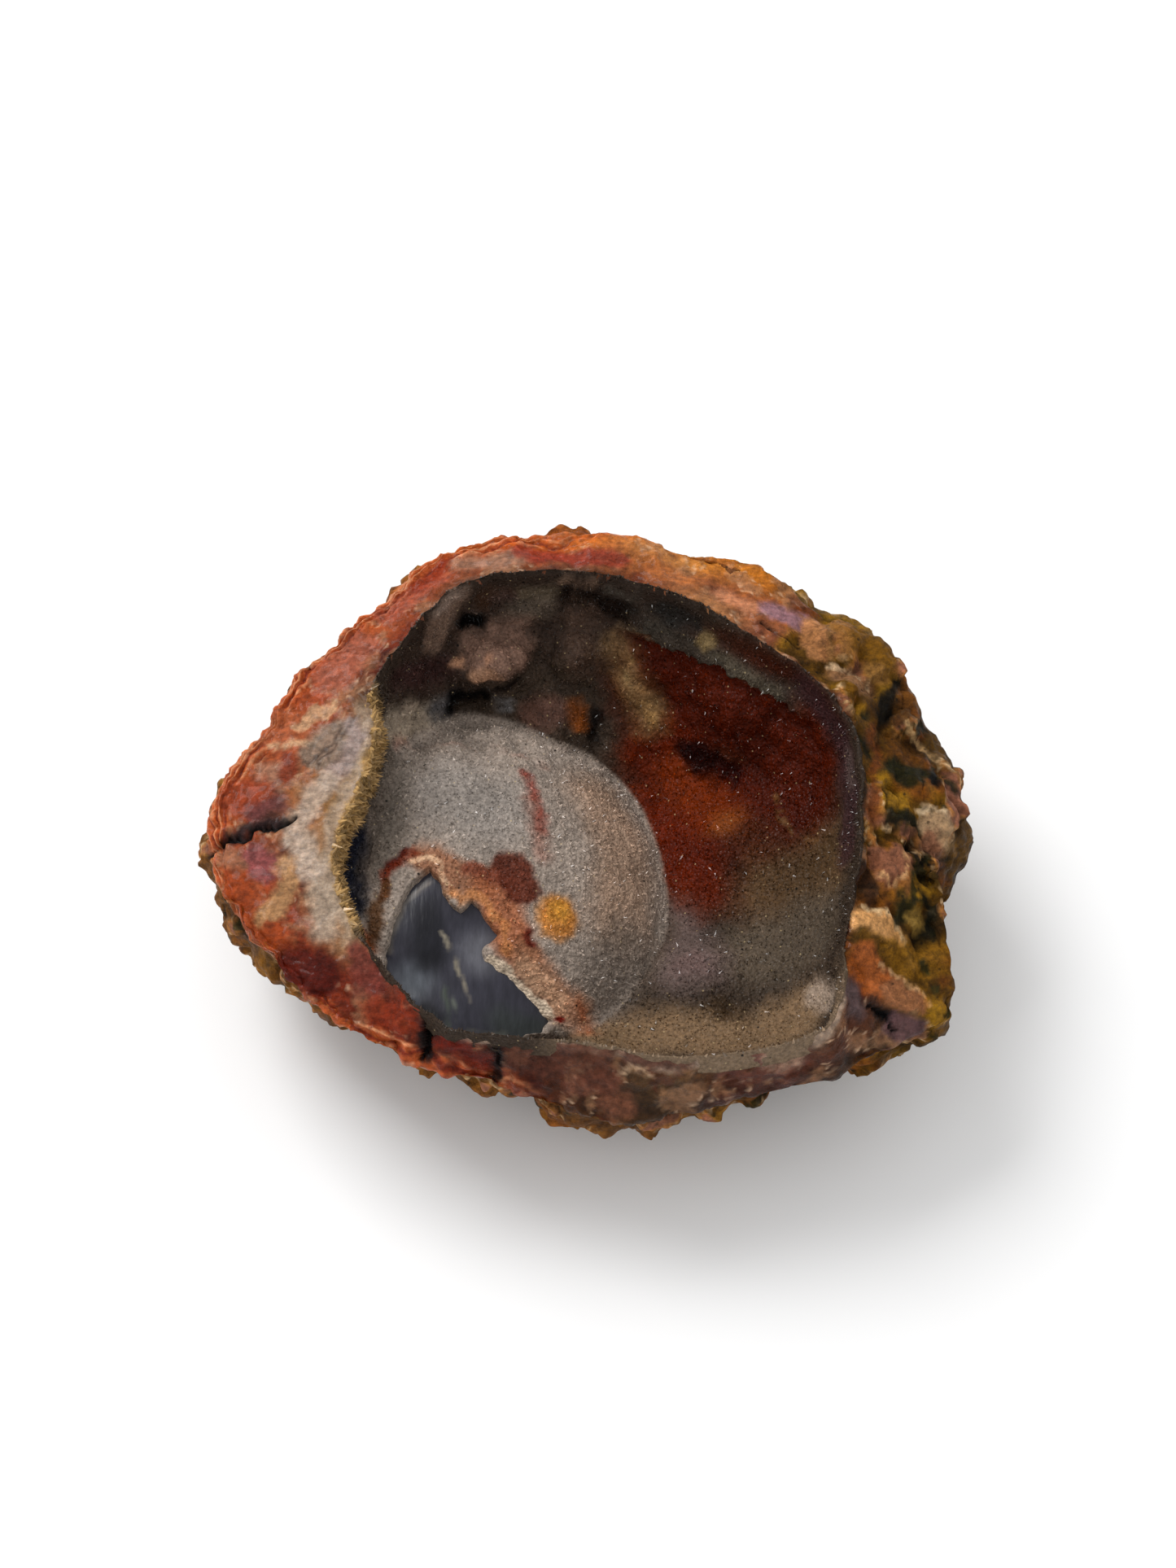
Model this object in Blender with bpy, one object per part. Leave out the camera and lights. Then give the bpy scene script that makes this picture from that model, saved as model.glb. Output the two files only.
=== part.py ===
"""Half of a chalcedony nodule, broken open, lying on the small flat spot under it.

One closed solid: a knobbly weathered skin, a broken face all round the rim, and a hollow whose
floor and walls carry rounded lobes. Sizes are in millimetres. The origin is the middle of the
flat resting spot, +Z is up, +X runs along the stone and -Y is the low side of the broken face.
"""

import math

import bmesh
import bpy
import numpy as np

MM = 0.001

# --- resting spot and overall form ---
SPOT_HALF_X = 14.0
SPOT_HALF_Y = 10.5
BROKEN_FACE_MID_HEIGHT = 33.5  # height of the hollow's edge where y is 0
BROKEN_FACE_RISE = 0.14  # rise of the broken face for each millimetre away from the low side
CORE = np.array((0.0, 0.0, 14.0))  # skin knobs stand out along lines from this point

# --- outline stations, evenly spaced round the stone from +X towards +Y ---
HOLLOW_EDGE_RADIUS = (
    34.8, 35.2, 33.0, 30.6, 30.2, 30.2, 31.0, 32.2, 33.7, 32.2, 31.6, 28.2,
    29.3, 33.0, 34.0, 34.6, 35.4, 33.4, 33.0, 36.0, 39.4, 42.5, 37.2, 35.3,
)
RIM_RADIUS = (
    42.5, 42.0, 43.5, 39.0, 39.0, 37.0, 36.5, 38.0, 39.5, 38.5, 41.0, 42.5,
    47.0, 47.0, 44.0, 41.5, 39.0, 37.5, 38.5, 40.0, 42.0, 47.0, 50.0, 45.5,
)
RIM_HEIGHT = (
    29.0, 30.0, 31.5, 33.5, 34.8, 35.5, 35.8, 35.3, 34.6, 34.0, 32.6, 31.3,
    29.8, 28.2, 26.6, 25.0, 23.5, 22.4, 21.3, 21.3, 21.8, 23.0, 23.0, 26.0,
)
WAIST_RADIUS = (
    48.5, 46.0, 44.5, 42.0, 37.0, 37.5, 38.5, 39.5, 40.5, 40.5, 42.0, 43.5,
    49.0, 47.0, 42.5, 36.5, 35.5, 34.5, 37.0, 37.5, 39.0, 41.0, 50.0, 42.5,
)
WAIST_HEIGHT = (
    17.0, 19.0, 23.0, 27.0, 29.5, 30.8, 31.4, 30.8, 30.0, 29.0, 27.6, 26.2,
    24.8, 23.4, 21.8, 20.6, 19.6, 18.6, 17.6, 17.2, 17.0, 17.0, 17.0, 17.0,
)

# --- hollow ---
FLOOR_HEIGHT = 11.5
WALL_ROUNDNESS = 2.1  # power of the bowl curve: higher is a flatter floor and a steeper wall
LOBE_BLEND = 1.6  # how widely neighbouring lobes run into each other
LOBE_FLATNESS = 0.9  # 1 is half an ellipsoid with an upright foot, and less is a flatter cap

# Broad lobes on the floor: middle x, y, half length, half width, turn in degrees, foot and top height.
LOBES = (
    (-18.0, -5.5, 29.5, 32.0, -8.0, 9.0, 27.5),  # great pale lobe
    (-16.0, -22.0, 19.0, 18.0, 0.0, 9.0, 24.5),  # its skirt towards the low side
    (-27.0, 1.0, 14.0, 25.5, 0.0, 9.0, 26.0),  # where it runs into the left wall
)

# Smaller bumps of the lining: middle x, y, z, radius and how far they stand out.
LINING_BUMPS = (
    (14.5, -19.0, 15.0, 8.0, 5.0),  # lavender bump by the low side
    (18.5, 3.0, 13.0, 8.0, 4.0),  # rust-coloured bump on the floor
    (-12.0, 26.5, 24.0, 4.2, 5.5),  # brown bump on the far wall
    (-2.0, 27.5, 24.0, 3.2, 4.0),  # grey bump beside it
    (-5.0, 21.5, 15.0, 5.0, 5.0),  # its lower neighbour
    (7.0, 24.0, 24.0, 3.5, 2.0),  # speckled ridge between the grey bump and the rust
    (20.0, 19.0, 23.0, 6.0, 2.5),  # dark red shoulder of the far wall
)
LINING_AIM = np.array((0.0, -8.0, 62.0))  # bumps of the lining stand out towards this point

# Knobs on the weathered skin: middle x, y, z, radius and how far they stand out.
SKIN_KNOBS = (
    (38.0, 28.0, 27.0, 9.0, 3.0),
    (46.0, 12.0, 24.0, 9.0, 2.6),
    (49.0, -3.0, 20.0, 8.0, 2.4),
    (44.0, -16.0, 22.0, 8.0, 2.2),
    (45.0, -27.0, 18.0, 8.0, 1.8),
    (24.0, 34.0, 30.0, 7.0, 2.2),
    (2.0, 38.0, 32.0, 8.0, 1.8),
    (-18.0, 37.0, 30.0, 7.0, 1.8),
    (5.0, -38.0, 15.0, 12.0, 1.4),
    (30.0, -28.0, 10.0, 9.0, 2.0),
    (-26.0, -24.0, 12.0, 9.0, 1.8),
    (-36.0, 10.0, 14.0, 10.0, 2.2),
    (-14.0, 30.0, 14.0, 10.0, 2.2),
    (22.0, 30.0, 12.0, 10.0, 2.4),
    (-42.0, -8.0, 16.0, 8.0, 1.6),
)

# --- mesh ---
SEGMENTS = 96
UNDERSIDE_RINGS = 8
SHOULDER_RINGS = 3
BROKEN_FACE_RINGS = 3
HOLLOW_RINGS = 22
LAST_RING_SHARE = 0.06  # radius of the ring that closes the hollow's floor, as a share of its edge

STONE_COLOUR = (0.32, 0.16, 0.09, 1.0)
STONE_ROUGHNESS = 0.42


def around(stations, angle):
    """The stations' value at each angle, by a smooth closed Catmull-Rom curve through them."""
    values = np.array(stations)
    place = (angle / math.tau * len(values)) % len(values)
    first = np.floor(place).astype(int)
    t = place - first
    before, here, after, beyond = (values[(first + k) % len(values)] for k in (-1, 0, 1, 2))
    return here + 0.5 * t * (
        after - before + t * (2 * before - 5 * here + 4 * after - beyond + t * (3 * (here - after) + beyond - before))
    )


def at_radius(angle, radius, height):
    """Points at these angles, radii and heights."""
    return np.stack([radius * np.cos(angle), radius * np.sin(angle), height + 0 * angle], axis=1)


def smooth_max(a, b, blend):
    """The larger of the two, rounded where they are close."""
    share = np.clip(0.5 + 0.5 * (a - b) / blend, 0, 1)
    return b + (a - b) * share + blend * share * (1 - share)


def lobe_height(x, y, lobe):
    """Height of one lobe over the plan, far below the floor outside it."""
    middle_x, middle_y, half_length, half_width, turn, foot, top = lobe
    c, s = math.cos(math.radians(turn)), math.sin(math.radians(turn))
    along = ((x - middle_x) * c + (y - middle_y) * s) / half_length
    across = ((y - middle_y) * c - (x - middle_x) * s) / half_width
    distance = np.hypot(along, across)
    foot_level = math.sqrt(1 - LOBE_FLATNESS)
    cap = np.sqrt(1 - LOBE_FLATNESS * np.minimum(distance, 1) ** 2)
    rise = (cap - foot_level) / (1 - foot_level) - np.maximum(distance - 1, 0)
    return foot + (top - foot) * rise


def edge_height(y):
    """Height of the tilted broken face over this y."""
    return BROKEN_FACE_MID_HEIGHT + BROKEN_FACE_RISE * y


def hollow_ring(angle, share):
    """A ring of the hollow at this share of the edge's radius, with the lobes raised on it."""
    radius = around(HOLLOW_EDGE_RADIUS, angle) * share
    x, y = radius * np.cos(angle), radius * np.sin(angle)
    edge = edge_height(y / share)
    wall = 1 - (1 - share**WALL_ROUNDNESS) ** (1 / WALL_ROUNDNESS)
    bowl = FLOOR_HEIGHT + (edge - FLOOR_HEIGHT) * wall
    height = bowl
    for lobe in LOBES:
        height = smooth_max(height, lobe_height(x, y, lobe), LOBE_BLEND)
    fade = np.clip((1 - share) / 0.2, 0, 1)  # no lobe reaches the hollow's edge
    lining = np.stack([x, y, bowl + (height - bowl) * fade], axis=1)
    return lining + fade * (with_knobs(lining, LINING_BUMPS, LINING_AIM - lining) - lining)


def with_knobs(points, knobs, away):
    """Points pushed along these directions by the knobs near them."""
    away = away / np.linalg.norm(away, axis=1)[:, None]
    moved = points.copy()
    for x, y, z, radius, stand_out in knobs:
        distance = np.linalg.norm(points - np.array((x, y, z)), axis=1) / radius
        moved += away * (stand_out * np.exp(-(distance**2)))[:, None]
    return moved


def rings():
    """Every ring of the skin, from the resting spot up over the rim and down to the hollow's floor."""
    angle = np.arange(SEGMENTS) * math.tau / SEGMENTS
    spot = np.stack([SPOT_HALF_X * np.cos(angle), SPOT_HALF_Y * np.sin(angle), 0 * angle], axis=1)
    waist = at_radius(angle, around(WAIST_RADIUS, angle), around(WAIST_HEIGHT, angle))
    rim = at_radius(angle, around(RIM_RADIUS, angle), around(RIM_HEIGHT, angle))
    edge = hollow_ring(angle, 1.0)
    made = [spot]
    for n in range(1, UNDERSIDE_RINGS + 1):
        turn = math.pi / 2 * n / UNDERSIDE_RINGS
        ring = spot + (waist - spot) * math.sin(turn)
        ring[:, 2] = waist[:, 2] * (1 - math.cos(turn))
        made.append(with_knobs(ring, SKIN_KNOBS, ring - CORE))
    for n in range(1, SHOULDER_RINGS + 1):
        turn = math.pi / 2 * n / SHOULDER_RINGS
        ring = rim + (waist - rim) * math.cos(turn)
        ring[:, 2] = waist[:, 2] + (rim[:, 2] - waist[:, 2]) * math.sin(turn)
        made.append(with_knobs(ring, SKIN_KNOBS, ring - CORE))
    rim_with_knobs = made[-1]
    for n in range(1, BROKEN_FACE_RINGS):
        made.append(rim_with_knobs + (edge - rim_with_knobs) * n / BROKEN_FACE_RINGS)
    for n in range(HOLLOW_RINGS):
        turn = math.pi / 2 * n / HOLLOW_RINGS
        share = max(math.cos(turn) ** 0.9, LAST_RING_SHARE)
        made.append(hollow_ring(angle, share))
    return made


def stone_mesh():
    """The stone as one closed mesh: a circle extruded ring by ring, capped at both ends."""
    made = rings()
    stone = bmesh.new()
    bmesh.ops.create_circle(stone, cap_ends=True, segments=SEGMENTS, radius=1)
    loop = list(stone.verts)
    loop.sort(key=lambda vert: math.atan2(vert.co.y, vert.co.x) % math.tau)
    place_ring(loop, made[0])
    edges = [edge for edge in stone.edges]
    for points in made[1:]:
        grown = bmesh.ops.extrude_edge_only(stone, edges=edges)["geom"]
        edges = [part for part in grown if isinstance(part, bmesh.types.BMEdge)]
        edges = [edge for edge in edges if len(edge.link_faces) == 1]
        loop = [part for part in grown if isinstance(part, bmesh.types.BMVert)]
        by_last_ring = {vert: below(vert, loop) for vert in loop}
        loop.sort(key=lambda vert: math.atan2(by_last_ring[vert].co.y, by_last_ring[vert].co.x) % math.tau)
        place_ring(loop, points)
    cap = bmesh.ops.contextual_create(stone, geom=edges)["faces"]
    middle = bmesh.ops.poke(stone, faces=cap)["verts"][0]
    middle.co = hollow_ring(np.zeros(1), LAST_RING_SHARE * 0.01)[0] * MM
    quads = [face for face in stone.faces if len(face.verts) == 4]
    bmesh.ops.triangulate(stone, faces=quads, quad_method="SHORT_EDGE")
    bmesh.ops.recalc_face_normals(stone, faces=stone.faces)
    mesh = bpy.data.meshes.new("chalcedony_stone")
    stone.to_mesh(mesh)
    stone.free()
    return mesh


def below(vert, loop):
    """The vertex of the last ring that this one was extruded from."""
    new = set(loop)
    return next(edge.other_vert(vert) for edge in vert.link_edges if edge.other_vert(vert) not in new)


def place_ring(loop, points):
    """Moves a ring's vertices to its points, given in millimetres."""
    for vert, point in zip(loop, points, strict=True):
        vert.co = point * MM


def stone_material():
    material = bpy.data.materials.new("chalcedony")
    material.use_nodes = True
    shader = material.node_tree.nodes["Principled BSDF"]
    shader.inputs["Base Color"].default_value = STONE_COLOUR
    shader.inputs["Roughness"].default_value = STONE_ROUGHNESS
    shader.inputs["Metallic"].default_value = 0.0
    return material


def main():
    for leftover in list(bpy.data.objects):
        bpy.data.objects.remove(leftover)
    mesh = stone_mesh()
    mesh.materials.append(stone_material())
    mesh.shade_smooth()
    mesh.set_sharp_from_angle(angle=math.radians(40))
    stone = bpy.data.objects.new("chalcedony_stone", mesh)
    bpy.context.scene.collection.objects.link(stone)


main()
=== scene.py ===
"""Chalcedony stone: half of a broken nodule whose hollow is lined with sugary quartz druse.

Laid out as a Blender add-on and run as a script. Lengths are millimetres in the stone's own frame:
the origin is the middle of the flat spot it rests on, +Z is up and +X runs along the stone.
"""

import math

import bpy
import numpy as np
from bpy.props import FloatProperty, FloatVectorProperty, IntProperty, PointerProperty
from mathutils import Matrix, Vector, noise


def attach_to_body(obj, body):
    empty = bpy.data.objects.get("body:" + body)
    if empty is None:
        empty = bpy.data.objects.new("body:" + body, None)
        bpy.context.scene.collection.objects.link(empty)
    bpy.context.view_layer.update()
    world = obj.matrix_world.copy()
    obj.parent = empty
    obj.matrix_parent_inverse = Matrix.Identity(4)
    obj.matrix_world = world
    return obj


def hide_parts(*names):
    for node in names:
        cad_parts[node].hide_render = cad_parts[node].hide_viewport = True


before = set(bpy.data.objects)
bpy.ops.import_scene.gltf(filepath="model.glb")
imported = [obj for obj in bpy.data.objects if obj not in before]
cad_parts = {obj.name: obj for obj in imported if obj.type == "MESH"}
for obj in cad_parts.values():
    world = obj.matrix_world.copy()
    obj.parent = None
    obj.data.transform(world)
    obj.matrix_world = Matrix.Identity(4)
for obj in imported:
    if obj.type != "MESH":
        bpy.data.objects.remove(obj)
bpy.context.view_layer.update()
NODE = "chalcedony_stone"
MM = 0.001

bl_info = {
    "name": "Chalcedony Stone",
    "version": (1, 0, 0),
    "blender": (4, 5, 0),
    "location": "3D View > Sidebar > Stone",
    "description": "Builds half of a broken chalcedony nodule and the stage it lies on",
    "category": "Object",
}

# --- resting spot and overall form, as in the solid ---
SPOT_HALF_X = 14.0
SPOT_HALF_Y = 10.5
FACE_MID_HEIGHT = 33.5  # height of the hollow's edge where y is 0
FACE_RISE = 0.14  # rise of the broken face for each millimetre away from the low side
CORE = np.array((0.0, 0.0, 14.0))  # knobs of the skin stand out along lines from this point

# --- outline stations, evenly spaced round the stone from +X towards +Y ---
HOLLOW_EDGE_RADIUS = (
    34.8, 35.2, 33, 30.6, 30.2, 30.2, 31, 32.2, 33.7, 32.2, 31.6, 28.2,
    29.3, 33, 34, 34.6, 35.4, 33.4, 33, 36, 39.4, 42.5, 37.2, 35.3,
)
RIM_RADIUS = (
    42.5, 42, 43.5, 39, 39, 37, 36.5, 38, 39.5, 38.5, 41, 42.5,
    47, 47, 44, 41.5, 39, 37.5, 38.5, 40, 42, 47, 50, 45.5,
)
RIM_HEIGHT = (
    29, 30, 31.5, 33.5, 34.8, 35.5, 35.8, 35.3, 34.6, 34, 32.6, 31.3,
    29.8, 28.2, 26.6, 25, 23.5, 22.4, 21.3, 21.3, 21.8, 23, 23, 26,
)
WAIST_RADIUS = (
    48.5, 46, 44.5, 42, 37, 37.5, 38.5, 39.5, 40.5, 40.5, 42, 43.5,
    49, 47, 42.5, 36.5, 35.5, 34.5, 37, 37.5, 39, 41, 50, 42.5,
)
WAIST_HEIGHT = (
    17, 19, 23, 27, 29.5, 30.8, 31.4, 30.8, 30, 29, 27.6, 26.2,
    24.8, 23.4, 21.8, 20.6, 19.6, 18.6, 17.6, 17.2, 17, 17, 17, 17,
)

# --- hollow ---
FLOOR_HEIGHT = 11.5
WALL_ROUNDNESS = 2.1  # power of the bowl curve: higher is a flatter floor and a steeper wall
LOBE_BLEND = 1.6  # how widely neighbouring lobes run into each other
LOBE_FLATNESS = 0.93  # 1 is half an ellipsoid with an upright foot, and less is a flatter cap

# Broad lobes on the floor: middle x, y, half length, half width, turn in degrees, foot and top height.
LOBES = (
    (-18, -5.5, 29.5, 32, -8, 9, 27.5),  # great pale lobe
    (-16, -22, 19, 18, 0, 9, 24.5),  # its skirt towards the low side
    (-27, 1, 14, 25.5, 0, 9, 26),  # where it runs into the left wall
)

# Smaller bumps of the lining: middle x, y, z, radius and how far they stand out.
LINING_BUMPS = (
    (14.5, -19, 15, 8, 5),  # lavender bump by the low side
    (18.5, 3, 13, 8, 4),  # rust-coloured bump on the floor
    (-12, 26.5, 24, 4.2, 5.5),  # brown bump on the far wall
    (-16.5, 24.5, 24, 2.6, 2.5),  # peach shoulder of it
    (-2, 27.5, 24, 3.2, 4),  # grey bump beside it
    (-5, 21.5, 15, 5, 5),  # its lower neighbour
    (15.5, 25.5, 30, 2.4, 2),  # cream knob under the far rim
    (7, 24, 24, 3.5, 2),  # speckled ridge between the grey bump and the rust
    (10, 14, 14, 5, -2),  # dip beside the great lobe
    (17.5, 12.5, 16, 4, -2.5),  # crease above the rust bump
    (20, 19, 23, 6, 2.5),  # dark red shoulder of the far wall
    (-15.5, 20, 21.5, 2.6, -3),  # hollows beside the brown bump, painted black as shade
    (-15.8, 28.8, 30.5, 1.8, -2),
    (-7.2, 26, 25, 1.8, -2),
)
LINING_AIM = np.array((0.0, -8.0, 62.0))  # bumps of the lining stand out towards this point

# Knobs of the weathered skin: middle x, y, z, radius and how far they stand out.
SKIN_KNOBS = (
    (38, 28, 27, 9, 3),
    (46, 12, 24, 9, 2.6),
    (49, -3, 20, 8, 2.4),
    (44, -16, 22, 8, 2.2),
    (45, -27, 18, 8, 1.8),
    (24, 34, 30, 7, 2.2),
    (2, 38, 32, 8, 1.8),
    (-18, 37, 30, 7, 1.8),
    (5, -38, 15, 12, 1.4),
    (30, -28, 10, 9, 2),
    (-26, -24, 12, 9, 1.8),
    (-36, 10, 14, 10, 2.2),
    (-14, 30, 14, 10, 2.2),
    (22, 30, 12, 10, 2.4),
    (-42, -8, 16, 8, 1.6),
)

# Places along the profile, from the hollow's middle over the rim to the resting spot: what they are
# called in the mesh's "profile" attribute, and how far they are from the pole of the sphere it starts as.
MIDDLE, EDGE, RIM, WAIST, SPOT, UNDER = 0.0, 1.0, 2.0, 3.0, 4.0, 5.0
BODY_POLAR_DEGREES = (0.0, 40.0, 62.0, 78.0, 165.0, 180.0)
LINING_EDGE_DEGREES = 104.0
LINING_HEM_DEGREES = 110.0

LINING_HEM_SHARE = 1.035  # the lining runs this far under the broken face
LINING_LIP = 0.25  # how far the lining's edge stands over the broken face
LINING_DEPTH = 2.6  # from the lining's top to its back, which is hidden in the stone

# Where the druse has broken away and the clear chalcedony shows: its outline in the plan.
WINDOW = (
    (-26.2, -18.2), (-25.5, -15.5), (-24.6, -13), (-23.4, -10.4), (-21.5, -8), (-20.2, -6.9),
    (-19, -9), (-17.8, -11.6), (-16.3, -13), (-14.6, -11.5), (-13.1, -13.5), (-11.1, -15.8),
    (-12.2, -18.4), (-11.1, -18.9), (-8.2, -21), (-4.8, -23.4), (-4, -25.4), (-5.2, -27.2),
    (-8.2, -28.6), (-12, -29.4), (-15.8, -29.2), (-18, -28.2), (-22.2, -24.8), (-24.2, -22.8),
    (-25.6, -20.4),
)
WINDOW_DEPTH = 2.4
# The broken edge of the druse on the window's right side slopes instead of dropping.
LEDGE = ((-12.2, -18.4), (-11.1, -18.9), (-8.2, -21.0), (-4.8, -23.4))
LEDGE_WIDTH = 2.0

# Cracks across the broken face: half width, depth and corners x, y.
CRACKS = (
    (0.24, 1.2, ((-48.5, -5.4), (-45.6, -4.2), (-44, -4.5), (-42.2, -3), (-39.8, -3.4), (-37.5, -2.2))),
    (0.24, 1.1, ((-20.4, -28.6), (-19.8, -31), (-20.6, -33))),
    (0.12, 0.6, ((-11.6, -32.6), (-11.2, -34.2))),
    (0.16, 0.8, ((22.6, 24.6), (25.2, 22.4), (27.6, 21.4))),
    (0.20, 0.9, ((35.4, -26.8), (37.5, -27.4), (38.6, -28.8))),
)

# Where things lie round the stone: from one direction to another, in degrees from +X towards +Y.
CRUSTED_FACE = (-33, 41)  # the weathered crust covers the broken face too
RIND = (95, 255)  # a layered rind shows along the rim
UNDER_RIND = (100, 262)  # the crust starts lower down, under that rind
BACK = (55, 300)  # the crust is browner
LEFT_FACE = (156, 214)  # a pale lilac zone runs along the hollow
NEAR_FACE = (236, 322)  # a thin pale edge runs along the hollow
LEFT_FRINGE = (152, 212)  # the druse's edge is tan
NEAR_FRINGE = (262, 324)  # the druse's edge is cream
POINTED_FRINGE = (150, 214)  # quartz points stand close together
BAND = (30, 78)  # a thicker band of grey druse hangs under the hollow's edge
BAND_FOOT = 28.8  # height of that band's ragged lower edge
STRIP_WIDTH = 1.5  # one layer of the rind

# --- stage, in metres, and the lens in millimetres ---
PAPER_SIZE = 3.0
KEY_SIZE = 0.45
CAMERA_LENS = 85

# --- colours ---
COLOUR_DEPTH = 1.3  # a damp polish deepens stone: its painted colours are raised to this power
# Colours are sRGB hex values. Lengths in the tables of stains are millimetres: each stain has its colour,
# the distance it reaches from its line of corners, how soft its edge is, its strength, and the corners.

# Colours of the broken face every 15 degrees from +X towards +Y, one row for each of these places
# on the profile: by the hollow, in the middle, by the rim, and on the skin just below it.
FACE_COLOUR_PROFILES = (1.1, 1.5, 1.88, 2.2)
FACE_COLOURS = (
    "3A2A14 4A3018 6A4630 8E6458 A17C6C 8A5A48 6E4C40 7B5349 7B5349 7B3D21 5A3020 8E8482 "
    "99816F 90807C 9C8C80 7A4A44 6E2C18 3F2A24 504540 7A6458 7E6453 58403C 451E18 3A2412",
    "66490D 54400F 5C4010 9A6650 8E5F50 A06E4B 8F5C52 9A5640 96502C A06048 9D5E4D 925444 "
    "946858 8A5650 80402C 703018 64301A 4A2A1C 4D332D 5F4B3E 634039 624039 5A433F 3A2C10",
    "72654A 5A4010 5A3C08 8A5A30 C08842 B2896E C07B3D B4661C A45A22 A6603A A4583A 9C5A3C "
    "8E4E38 964C26 803A18 6E300E 682C10 5C2C18 4A3020 443531 52302A 493835 5A4520 65420B",
    "6A5020 5A4414 5A4010 8A5E28 B07C38 B47C40 B87030 B0661C AC6828 AC6C3C B0704A B4744E "
    "B07048 A05A30 6A4A20 5C4018 64441C 64461E 66481C 5E421A 402C10 4A3414 5A421A 5E4818",
)
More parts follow.
